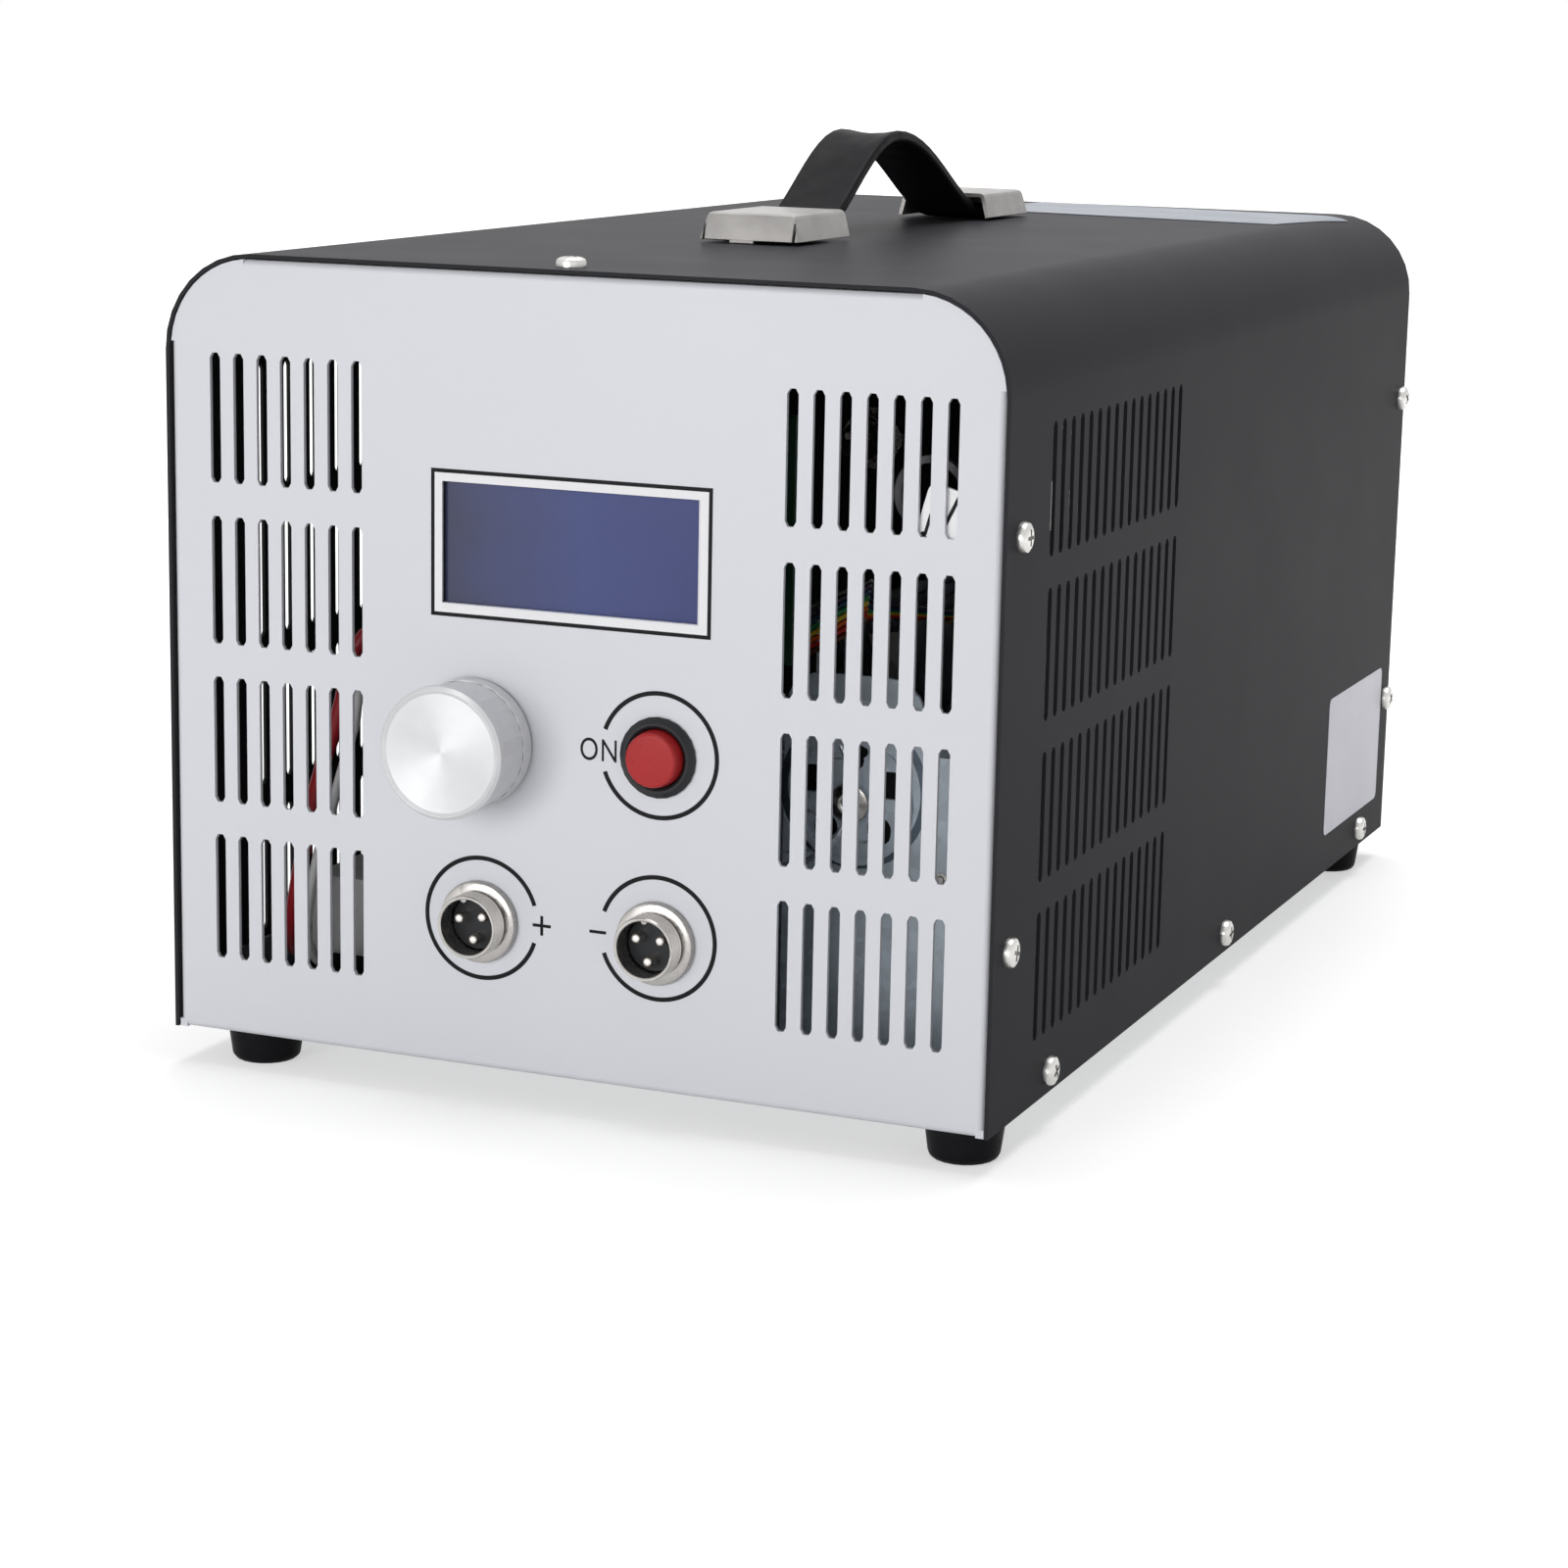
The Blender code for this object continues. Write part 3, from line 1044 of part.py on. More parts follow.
def mains_supply():
    left = SUPPLY_X - SUPPLY_WIDTH / 2
    right = left + SUPPLY_WIDTH
    floor = TRAY_FLOOR + SEAT
    top = floor + SUPPLY_HEIGHT
    far = SUPPLY_FRONT_Y + SUPPLY_LENGTH
    bm = bmesh.new()
    block(bm, (left, SUPPLY_FRONT_Y, floor), (right, far, top))
    node = make_node("supply_case", bm, galvanised_steel())
    wall = SUPPLY_SHEET
    hollow = bmesh.new()
    block(hollow, (left + wall, SUPPLY_FRONT_Y - 1 * MM, floor + wall), (right - wall, far - wall, top - wall))
    cut(node, hollow)
    slots = bmesh.new()
    block(slots, (left + wall, SUPPLY_FRONT_Y - 1 * MM, top - 2 * wall),
          (right - wall, SUPPLY_FRONT_Y + SUPPLY_TERMINALS, top + 1 * MM))
    for index in range(SUPPLY_SLOTS):
        y = SUPPLY_FRONT_Y + SUPPLY_LENGTH * (index + 2) / (SUPPLY_SLOTS + 2)
        block(slots, (left + 12 * MM, y - 2 * MM, top - 2 * wall), (right - 12 * MM, y + 2 * MM, top + 1 * MM))
    cut(node, slots)
    inset = wall + SEAT
    board_z = floor + 6 * MM
    board = bmesh.new()
    block(board, (left + inset, SUPPLY_FRONT_Y, board_z), (right - inset, far - inset, board_z + BOARD_THICKNESS))
    node = make_node("supply_board", board, circuit_board())
    parts = bmesh.new()
    low = board_z + BOARD_THICKNESS / 2
    block(parts, (SUPPLY_X - 18 * MM, far - 75 * MM, low), (SUPPLY_X + 14 * MM, far - 45 * MM, top - 6 * MM))
    block(parts, (left + 8 * MM, SUPPLY_FRONT_Y + 2 * MM, low), (right - 8 * MM, SUPPLY_FRONT_Y + 14 * MM, low + 13 * MM))
    for x in (-24 * MM, 26 * MM):
        cylinder(parts, (SUPPLY_X + x, far - 28 * MM, 0), 9 * MM, low, top - 5 * MM, 12, "Z")
    for x in (left + 8 * MM, right - 8 * MM):
        for y in (SUPPLY_FRONT_Y + 22 * MM, far - 8 * MM):
            cylinder(parts, (x, y, 0), POST_RADIUS, floor + wall + SEAT, low, 8, "Z")
    add(node, parts)


def relay_module():
    floor = TRAY_FLOOR + SEAT
    right = RELAY_LEFT_X + RELAY_WIDTH
    far = RELAY_FRONT_Y + RELAY_LENGTH
    bm = bmesh.new()
    block(bm, (RELAY_LEFT_X, RELAY_FRONT_Y, floor), (right, far, floor + RELAY_BASE_HEIGHT))
    node = make_node("relay_module", bm, grey_plastic())
    can = bmesh.new()
    inset = 2 * MM
    block(can, (RELAY_LEFT_X + inset, RELAY_FRONT_Y + inset, floor + RELAY_BASE_HEIGHT - 1 * MM),
          (right - inset, far - inset, floor + RELAY_HEIGHT))
    add(node, can)


def insulated_wire(name, paint, points):
    path = smooth_path(points, 5)
    curve = bpy.data.curves.new(name, "CURVE")
    curve.dimensions = "3D"
    curve.bevel_depth = WIRE_RADIUS
    curve.bevel_resolution = 2
    curve.use_fill_caps = True
    spline = curve.splines.new("POLY")
    spline.points.add(len(path) - 1)
    for spot, place in zip(spline.points, path):
        spot.co = (*place, 1.0)
    curve.materials.append(paint)
    node = bpy.data.objects.new(name, curve)
    node.location = CASE_ORIGIN
    bpy.context.scene.collection.objects.link(node)
    return node


# Battery leads from the control board down to the relay module
def battery_wires():
    relay_side = RELAY_LEFT_X - 2 * SEAT
    top_z = CONTROL_BOARD_Z - CONTROL_BOARD_HEIGHT / 2 + 9 * MM
    board_back = CONTROL_BOARD_Y + BOARD_THICKNESS + CONNECTOR_HEIGHT + 2 * SEAT
    red = [(-40 * MM, board_back, top_z), (-40 * MM, board_back + 5 * MM, top_z)]
    red += [(-52 * MM, 42 * MM, 117 * MM), (RELAY_LEFT_X + 25 * MM, 32 * MM, 106 * MM)]
    red += [(RELAY_LEFT_X + 12 * MM, 27 * MM, 84 * MM), (RELAY_LEFT_X + 4 * MM, 25 * MM, 60 * MM)]
    red += [(RELAY_LEFT_X - 6 * MM, 28 * MM, 34 * MM), (RELAY_LEFT_X - 11 * MM, 38 * MM, 20 * MM)]
    red += [(RELAY_LEFT_X - 8 * MM, 42 * MM, 12 * MM), (relay_side, 42 * MM, 12 * MM)]
    insulated_wire("battery_wire_red", red_insulation(), red)
    relay_top = TRAY_FLOOR + SEAT + RELAY_HEIGHT + SEAT
    grey = [(-30 * MM, board_back, top_z), (-30 * MM, board_back + 5 * MM, top_z)]
    grey += [(-40 * MM, 47 * MM, 110 * MM), (RELAY_LEFT_X + 36 * MM, 42 * MM, 94 * MM)]
    grey += [(RELAY_LEFT_X + 23 * MM, 37 * MM, 76 * MM), (RELAY_LEFT_X + 12 * MM, 36 * MM, 56 * MM)]
    grey += [(RELAY_LEFT_X + 10 * MM, 38 * MM, relay_top)]
    insulated_wire("battery_wire_grey", grey_insulation(), grey)


# Flat cable from the control board, looped to the front of the heat sink
def ribbon_cable():
    board_back = CONTROL_BOARD_Y + BOARD_THICKNESS + CONNECTOR_HEIGHT + 2 * SEAT
    z = CONTROL_BOARD_Z + 16 * MM
    route = [(36 * MM, board_back, z), (36 * MM, board_back + 9 * MM, z)]
    route += [(50 * MM, board_back + 15 * MM, z - 16 * MM)]
    route += [(HEATSINK_X - 6 * MM, HEATSINK_FRONT_Y - 56 * MM, HEATSINK_TOP + 17 * MM)]
    route += [(HEATSINK_X - 11 * MM, HEATSINK_FRONT_Y - 38 * MM, HEATSINK_TOP + 9 * MM)]
    route += [(HEATSINK_X - 5 * MM, HEATSINK_FRONT_Y - 17 * MM, HEATSINK_TOP + 8 * MM)]
    route += [(HEATSINK_X, HEATSINK_FRONT_Y + 20 * MM, HEATSINK_TOP + SEAT + RIBBON_THICKNESS / 2)]
    path = smooth_path(route, 5)
    bm = bmesh.new()
    rows = []
    for index, spot in enumerate(path):
        along = (path[min(index + 1, len(path) - 1)] - path[max(index - 1, 0)]).normalized()
        share = index / (len(path) - 1)
        flat = Vector((1, 0, 0)) * share + Vector((0.35, 0, 0.94)) * (1 - share)
        side = (flat - along * flat.dot(along)).normalized()
        up = along.cross(side)
        row = []
        for right, high in ((-1, -1), (1, -1), (1, 1), (-1, 1)):
            offset = side * right * RIBBON_WIDTH / 2 + up * high * RIBBON_THICKNESS / 2
            row.append(bm.verts.new(spot + offset))
        rows.append(row)
    for row, following in zip(rows, rows[1:]):
        for here in range(4):
            there = (here + 1) % 4
            bm.faces.new((row[here], row[there], following[there], following[here]))
    bm.faces.new(rows[0])
    bm.faces.new(list(reversed(rows[-1])))
    make_node("ribbon_cable", bm, grey_insulation())


def exhaust_fan():
    axis = (FAN_X, 0, FAN_Z)
    far = CASE_DEPTH - PANEL_SHEET - SEAT
    near = far - FAN_DEPTH
    half = FAN_WIDTH / 2
    bm = bmesh.new()
    block(bm, (FAN_X - half, near, FAN_Z - half), (FAN_X + half, far, FAN_Z + half))
    node = make_node("exhaust_fan_frame", bm, black_plastic())
    bore = bmesh.new()
    cylinder(bore, axis, FAN_BORE_RADIUS, near - 1 * MM, far + 1 * MM, 32)
    cut(node, bore)
    strut_depth = 4 * MM
    struts = bmesh.new()
    cylinder(struts, axis, FAN_HUB_RADIUS, near, near + strut_depth, 20)
    add(node, struts)
    for index in range(FAN_STRUTS):
        angle = math.radians(45 + 90 * index)
        across = Vector((math.cos(angle), 0, math.sin(angle)))
        side = Vector((-across.z, 0, across.x)) * 2.5 * MM
        inner = Vector(axis) + across * (FAN_HUB_RADIUS - 2 * MM)
        outer = Vector(axis) + across * (FAN_BORE_RADIUS + 3 * MM)
        outline = [inner - side, outer - side, outer + side, inner + side]
        bar = bmesh.new()
        prism(bar, [(spot.x, spot.z) for spot in outline], near + 0.2 * MM, near + strut_depth - 0.2 * MM)
        add(node, bar)
    hub_near = near + strut_depth + SEAT
    hub_far = far - 2 * MM
    hub = bmesh.new()
    turn(hub, [(0, hub_near), (FAN_HUB_RADIUS, hub_near), (FAN_HUB_RADIUS, hub_far - 1 * MM),
               (FAN_HUB_RADIUS - 1 * MM, hub_far), (0, hub_far)], axis, 28)
    rotor = make_node("exhaust_fan_rotor", hub, black_plastic(), pivot=(FAN_X, (near + far) / 2, FAN_Z))
    add_blades(rotor, axis, hub_near, hub_far, FAN_HUB_RADIUS, FAN_BORE_RADIUS - FAN_TIP_GAP, FAN_BLADES)


def fan_guard():
    axis = (FAN_X, 0, FAN_Z)
    near = CASE_DEPTH + SEAT
    far = near + GUARD_WIRE
    bm = bmesh.new()
    outer = FAN_BORE_RADIUS + 2 * MM
    hub = 12 * MM
    ring_solid(bm, axis, outer - GUARD_WIRE, outer, near, far, 32)
    node = make_node("fan_guard", bm, nickel())
    centre = bmesh.new()
    cylinder(centre, axis, hub, near + 0.1 * MM, far, 20)
    add(node, centre)
    bars = bmesh.new()
    for side in (-1, 1):
        for index in range(2):
            angle = math.radians(45 + 90 * index)
            across = Vector((math.cos(angle), 0, math.sin(angle))) * side
            flank = Vector((-across.z, 0, across.x)) * GUARD_WIRE / 2
            inner = Vector(axis) + across * (hub - 2 * MM)
            outer_end = Vector(axis) + across * (outer + 12 * MM)
            outline = [inner - flank, outer_end - flank, outer_end + flank, inner + flank]
            prism(bars, [(spot.x, spot.z) for spot in outline], near + 0.05 * MM, far - 0.2 * MM)
    add(node, bars)
    step = (outer - hub) / (GUARD_RINGS + 1)
    for index in range(GUARD_RINGS):
        radius = hub + step * (index + 1)
        ring = bmesh.new()
        ring_solid(ring, axis, radius - GUARD_WIRE / 2, radius + GUARD_WIRE / 2, near + 0.3 * MM, far - 0.1 * MM, 24)
        add(node, ring)


# Mains inlet with three blades and a fuse drawer above them
def mains_inlet():
    face = CASE_DEPTH + INLET_FLANGE_THICKNESS
    near = CASE_DEPTH - INLET_DEPTH
    half_w, half_h = INLET_WIDTH / 2, INLET_HEIGHT / 2
    bm = bmesh.new()
    block(bm, (INLET_X - half_w, near, INLET_Z - half_h), (INLET_X + half_w, CASE_DEPTH + 1 * MM, INLET_Z + half_h))
    node = make_node("mains_inlet", bm, black_plastic())
    flange = bmesh.new()
    block(flange, (INLET_X - half_w - INLET_FLANGE, CASE_DEPTH + SEAT, INLET_Z - half_h - INLET_FLANGE),
          (INLET_X + half_w + INLET_FLANGE, face, INLET_Z + half_h + INLET_FLANGE))
    add(node, flange)
    recess_z = INLET_Z - half_h + 4 * MM + INLET_RECESS_HEIGHT / 2
    drawer_z = INLET_Z + half_h - 5 * MM - DRAWER_HEIGHT / 2
    recess = bmesh.new()
    wide, high = INLET_RECESS_WIDTH / 2, INLET_RECESS_HEIGHT / 2
    shape = [(-wide, -high), (wide, -high), (wide, high * 0.4), (wide - 4 * MM, high)]
    shape += [(-wide + 4 * MM, high), (-wide, high * 0.4)]
    prism(recess, [(INLET_X + x, recess_z + z) for x, z in shape], face - INLET_RECESS_DEPTH, face + 1 * MM)
    gap = SLIP
    block(recess, (INLET_X - DRAWER_WIDTH / 2 - gap, face - DRAWER_DEPTH - gap, drawer_z - DRAWER_HEIGHT / 2 - gap),
          (INLET_X + DRAWER_WIDTH / 2 + gap, face + 1 * MM, drawer_z + DRAWER_HEIGHT / 2 + gap))
    cut(node, recess)
    blades = bmesh.new()
    for x, z in ((-7 * MM, -2 * MM), (7 * MM, -2 * MM), (0, 2.5 * MM)):
        block(blades, (INLET_X + x - 1 * MM, near - 6 * MM, recess_z + z - 2 * MM),
              (INLET_X + x + 1 * MM, face - 4 * MM, recess_z + z + 2 * MM))
    add(node, blades)
    drawer = bmesh.new()
    block(drawer, (INLET_X - DRAWER_WIDTH / 2, face - DRAWER_DEPTH, drawer_z - DRAWER_HEIGHT / 2),
          (INLET_X + DRAWER_WIDTH / 2, face - 0.5 * MM, drawer_z + DRAWER_HEIGHT / 2))
    pivot = (INLET_X, face - DRAWER_DEPTH / 2, drawer_z)
    slider = make_node("fuse_drawer", drawer, grey_plastic(), pivot=pivot)
    lip = bmesh.new()
    block(lip, (INLET_X - 5 * MM, face - 2 * MM, drawer_z + DRAWER_HEIGHT / 2 - 2.4 * MM),
          (INLET_X + 5 * MM, face + 1.5 * MM, drawer_z + DRAWER_HEIGHT / 2 - 0.8 * MM))
    add(slider, lip)


def build():
    clear_scene()
    front_panel()
    rear_panel()
    top_cover()
    base_tray()
    feet()
    handle()
    knob()
    encoder()
    power_switch()
    panel_connector("positive_socket", CONTROL_LEFT_X, 0, SOCKET_Z, -1, turned=8)
    panel_connector("negative_socket", CONTROL_RIGHT_X, 0, SOCKET_Z, -1)
    panel_connector("data_socket", INLET_X, CASE_DEPTH, DATA_SOCKET_Z, 1)
    display()
    control_board()
    motor_bracket()
    fan_motor()
    load_heatsink()
    power_board()
    mains_supply()
    relay_module()
    battery_wires()
    ribbon_cable()
    exhaust_fan()
    fan_guard()
    mains_inlet()


build()
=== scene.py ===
import json
import math
import bmesh
import bpy
from mathutils import Matrix, Vector

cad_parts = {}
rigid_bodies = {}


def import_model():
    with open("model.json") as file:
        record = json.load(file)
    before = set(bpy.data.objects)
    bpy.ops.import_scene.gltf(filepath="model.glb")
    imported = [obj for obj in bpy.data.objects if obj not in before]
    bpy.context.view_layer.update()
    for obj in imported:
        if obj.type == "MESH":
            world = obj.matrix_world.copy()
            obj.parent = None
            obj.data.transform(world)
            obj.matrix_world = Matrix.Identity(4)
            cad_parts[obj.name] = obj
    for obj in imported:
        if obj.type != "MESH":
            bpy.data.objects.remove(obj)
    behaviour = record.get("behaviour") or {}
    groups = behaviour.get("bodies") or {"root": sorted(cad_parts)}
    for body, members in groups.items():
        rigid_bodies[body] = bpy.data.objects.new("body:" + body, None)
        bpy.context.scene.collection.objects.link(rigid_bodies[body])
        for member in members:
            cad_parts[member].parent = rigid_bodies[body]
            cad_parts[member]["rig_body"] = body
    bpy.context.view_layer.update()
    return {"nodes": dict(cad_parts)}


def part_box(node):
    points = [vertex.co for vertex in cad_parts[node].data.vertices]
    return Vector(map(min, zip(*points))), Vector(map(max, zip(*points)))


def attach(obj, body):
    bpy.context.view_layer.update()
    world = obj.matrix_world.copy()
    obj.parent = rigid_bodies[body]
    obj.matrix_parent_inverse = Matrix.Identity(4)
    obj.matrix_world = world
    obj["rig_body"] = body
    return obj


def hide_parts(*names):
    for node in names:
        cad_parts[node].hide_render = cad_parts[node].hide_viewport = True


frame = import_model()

# The frame and its places
mm = 0.001
nodes = frame["nodes"]
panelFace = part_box("front_panel")[0].y
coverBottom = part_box("top_cover")[0].z
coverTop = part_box("top_cover")[1].z
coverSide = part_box("top_cover")[1].x
facingFront = (math.pi / 2, 0, 0)      # stands a flat or round piece up along Y
facingRight = (math.pi / 2, 0, math.pi / 2)
print("frame loaded,", len(nodes), "nodes")


def place(x, y, z):
    # mm right of the middle, behind the front panel's face and above the cover's bottom edge
    return Vector((x * mm, panelFace + y * mm, coverBottom + z * mm))


def middleOf(node):
    low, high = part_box(node)
    return (low + high) / 2


def around(centre, degrees, radius):
    # a place on a circle of so many mm round a centre, in the front's plane
    angle = math.radians(degrees)
    return centre + Vector((math.cos(angle), 0, math.sin(angle))) * radius * mm


# Camera at the photograph's viewing angle
cameraView = {
    "azimuth": 22.582,
    "elevation": 11.921,
    "roll": 1.148,
    "lens": 84.807,
    "spot": (395.30, -809.33, 267.44),
}


def makeCamera(values):
    turn = math.radians(values["azimuth"])
    lift = math.radians(values["elevation"])
    roll = math.radians(values["roll"])
    forward = Vector((-math.sin(turn) * math.cos(lift), math.cos(turn) * math.cos(lift), -math.sin(lift)))
    right = Vector((math.cos(turn), math.sin(turn), 0))
    up = right.cross(forward)
    rightRolled = right * math.cos(roll) + up * math.sin(roll)
    upRolled = up * math.cos(roll) - right * math.sin(roll)
    data = bpy.data.cameras.new("photoCamera")
    data.lens = values["lens"]
    data.sensor_width = 36
    data.clip_start = 0.05
    data.clip_end = 50
    camera = bpy.data.objects.new("photoCamera", data)
    bpy.context.scene.collection.objects.link(camera)
    turned = Matrix((rightRolled, upRolled, -forward)).transposed().to_4x4()
    camera.matrix_world = Matrix.Translation(place(*values["spot"])) @ turned
    bpy.context.scene.camera = camera


makeCamera(cameraView)
print("camera placed")


# Node helpers for materials
def newMaterial(name, colour, roughness, metallic=0.0):
    material = bpy.data.materials.new(name)
    material.use_nodes = True
    tree = material.node_tree
    shader = tree.nodes["Principled BSDF"]
    shader.inputs["Base Color"].default_value = (*colour, 1)
    shader.inputs["Roughness"].default_value = roughness
    shader.inputs["Metallic"].default_value = metallic
    return material, tree, shader


def addNode(tree, kind, values=None, **settings):
    node = tree.nodes.new(kind)
    for key, value in settings.items():
        setattr(node, key, value)
    for key, value in (values or {}).items():
        node.inputs[key].default_value = value
    return node


def coordinates(tree, scale=(1, 1, 1), middle=(0, 0, 0), turn=(0, 0, 0)):
    # object coordinates in metres, measured from a middle point, then stretched
    source = addNode(tree, "ShaderNodeTexCoord")
    mapping = addNode(tree, "ShaderNodeMapping", vector_type="TEXTURE")
    mapping.inputs["Location"].default_value = middle
    mapping.inputs["Rotation"].default_value = turn
    mapping.inputs["Scale"].default_value = tuple(1 / part for part in scale)
    tree.links.new(source.outputs["Object"], mapping.inputs["Vector"])
    return mapping.outputs["Vector"]


def noiseField(tree, size, detail=2.0, rough=0.5, scale=(1, 1, 1)):
    # noise with lumps of about the given size in mm
    look = {"Scale": 1 / (size * mm), "Detail": detail, "Roughness": rough}
    noise = addNode(tree, "ShaderNodeTexNoise", look)
    tree.links.new(coordinates(tree, scale), noise.inputs["Vector"])
    return noise.outputs["Fac"]


def spread(tree, field, low, high, fromLow=0.3, fromHigh=0.7):
    # a field's usual range stretched to run from low to high
    ends = {"From Min": fromLow, "From Max": fromHigh, "To Min": low, "To Max": high}
    node = addNode(tree, "ShaderNodeMapRange", ends)
    tree.links.new(field, node.inputs["Value"])
    return node.outputs["Result"]


def combine(tree, operation, first, second):
    node = addNode(tree, "ShaderNodeMath", operation=operation)
    tree.links.new(first, node.inputs[0])
    tree.links.new(second, node.inputs[1])
    return node.outputs[0]


def tint(tree, shader, field, first, second):
    # colour runs from first to second as the field goes from 0 to 1
    mix = addNode(tree, "ShaderNodeMix", data_type="RGBA")
    mix.inputs[6].default_value = (*first, 1)
    mix.inputs[7].default_value = (*second, 1)
    tree.links.new(field, mix.inputs[0])
    tree.links.new(mix.outputs[2], shader.inputs["Base Color"])


def bump(tree, shader, field, height):
    node = addNode(tree, "ShaderNodeBump", {"Strength": 1.0, "Distance": height * mm})
    tree.links.new(field, node.inputs["Height"])
    tree.links.new(node.outputs["Normal"], shader.inputs["Normal"])


def mouldedFinish(name, colour, roughness, grain, height, gloss=0.5, blotch=30, change=0.06, wear=0.12):
    # one surface with fine grain, slow colour change and uneven gloss
    material, tree, shader = newMaterial(name, colour, roughness)
    slow = spread(tree, noiseField(tree, blotch, 3), 0, 1)
    dark = tuple(part * (1 - change) for part in colour)
    light = tuple(min(1, part * (1 + change)) for part in colour)
    tint(tree, shader, slow, dark, light)
    worn = spread(tree, noiseField(tree, blotch / 3, 4), roughness * (1 - wear), roughness * (1 + wear))
    tree.links.new(worn, shader.inputs["Roughness"])
    bump(tree, shader, noiseField(tree, grain, 2), height)
    shader.inputs["Specular IOR Level"].default_value = gloss
    return material


# Paints and moulded finishes
finishes = {
    "cover": {"colour": (0.033, 0.033, 0.037), "roughness": 0.40, "grain": 0.5, "height": 0.014,
              "gloss": 0.012, "blotch": 90, "change": 0.04, "wear": 0.03},
    "panel": {"colour": (0.664, 0.674, 0.714), "roughness": 0.36, "grain": 1.4, "height": 0.005,
              "gloss": 0.35, "blotch": 120, "change": 0.01, "wear": 0.05},
    "rubber": {"colour": (0.0085, 0.0085, 0.010), "roughness": 0.46, "grain": 0.5, "height": 0.02,
               "gloss": 0.045, "blotch": 18, "change": 0.15, "wear": 0.15},
    "black": {"colour": (0.017, 0.018, 0.020), "roughness": 0.34, "grain": 0.4, "height": 0.006,
              "gloss": 0.2, "blotch": 12, "change": 0.06, "wear": 0.12},
    "red": {"colour": (0.385, 0.018, 0.020), "roughness": 0.3, "grain": 0.6, "height": 0.006,
            "gloss": 0.22, "blotch": 9, "change": 0.05, "wear": 0.12},
    "grey": {"colour": (0.42, 0.42, 0.43), "roughness": 0.42, "grain": 0.5, "height": 0.01,
             "gloss": 0.3, "blotch": 14, "change": 0.06, "wear": 0.12},
    "ink": {"colour": (0.006, 0.006, 0.008), "roughness": 0.45, "grain": 0.4, "height": 0.002,
            "gloss": 0.1, "blotch": 6, "change": 0.2, "wear": 0.1},
    "whiteInk": {"colour": (0.80, 0.80, 0.82), "roughness": 0.4, "grain": 0.6, "height": 0.002,
                 "gloss": 0.3, "blotch": 20, "change": 0.01, "wear": 0.1},
    "label": {"colour": (0.69, 0.69, 0.765), "roughness": 0.36, "grain": 1.2, "height": 0.003,
              "gloss": 0.25, "blotch": 40, "change": 0.03, "wear": 0.1},
    "sheet": {"colour": (0.135, 0.162, 0.21), "roughness": 0.24, "grain": 5.0, "height": 0.02,
              "gloss": 0.14, "blotch": 50, "change": 0.05, "wear": 0.1},
}

coverPaint = mouldedFinish("charcoalPowderCoat", **finishes["cover"])
panelPaint = mouldedFinish("lightGreyPaint", **finishes["panel"])
rubber = mouldedFinish("blackRubber", **finishes["rubber"])
blackPlastic = mouldedFinish("blackPlastic", **finishes["black"])
redPlastic = mouldedFinish("redButtonPlastic", **finishes["red"])
greyPlastic = mouldedFinish("greyPlastic", **finishes["grey"])
inkBlack = mouldedFinish("blackInk", **finishes["ink"])
inkWhite = mouldedFinish("whiteInk", **finishes["whiteInk"])
labelFoil = mouldedFinish("labelFoil", **finishes["label"])
sheetFilm = mouldedFinish("sheetFilm", **finishes["sheet"])


def brushedMetal(name, colour, roughness, along, streak=0.35, height=0.004, change=0.06, metallic=1.0):
    # long fine streaks along one axis, with a few soft stains
    material, tree, shader = newMaterial(name, colour, roughness, metallic)
    stretch = 0.03      # streaks are some thirty times as long as wide
    streaks = noiseField(tree, streak, 3, 0.6, tuple(stretch if axis == along else 1.0 for axis in "xyz"))
    stains = spread(tree, noiseField(tree, 12, 3), 0, 1)
    dark = tuple(part * (1 - change) for part in colour)
    light = tuple(min(1, part * (1 + change)) for part in colour)
    tint(tree, shader, stains, dark, light)
    tree.links.new(spread(tree, streaks, roughness * 0.75, roughness * 1.3), shader.inputs["Roughness"])
    bump(tree, shader, streaks, height)
    return material


capSteel = brushedMetal("brushedStainless", (0.375, 0.361, 0.35), 0.38, "x", 0.6, 0.014, 0.16, 0.36)
traySteel = brushedMetal("rolledSteel", (0.40, 0.42, 0.44), 0.40, "y", 0.6)


def platedMetal(name, colour, roughness, grain=0.8, height=0.003):
    # bright plating with faint orange peel and dull spots
    material, tree, shader = newMaterial(name, colour, roughness, 1.0)
    dull = noiseField(tree, 2.5, 4)
    tint(tree, shader, spread(tree, dull, 0, 1), tuple(part * 0.9 for part in colour), colour)
    tree.links.new(spread(tree, dull, roughness * 0.7, roughness * 1.5), shader.inputs["Roughness"])
    bump(tree, shader, noiseField(tree, grain, 2), height)
    return material


nickel = platedMetal("brightNickel", (0.42, 0.405, 0.388), 0.24)
brightSteel = platedMetal("brightSteel", (0.88, 0.93, 1.0), 0.3)
pinMetal = platedMetal("pinMetal", (0.74, 0.71, 0.67), 0.3, 0.3, 0.002)
screwSteel = platedMetal("zincScrew", (0.66, 0.65, 0.63), 0.28, 0.4, 0.004)


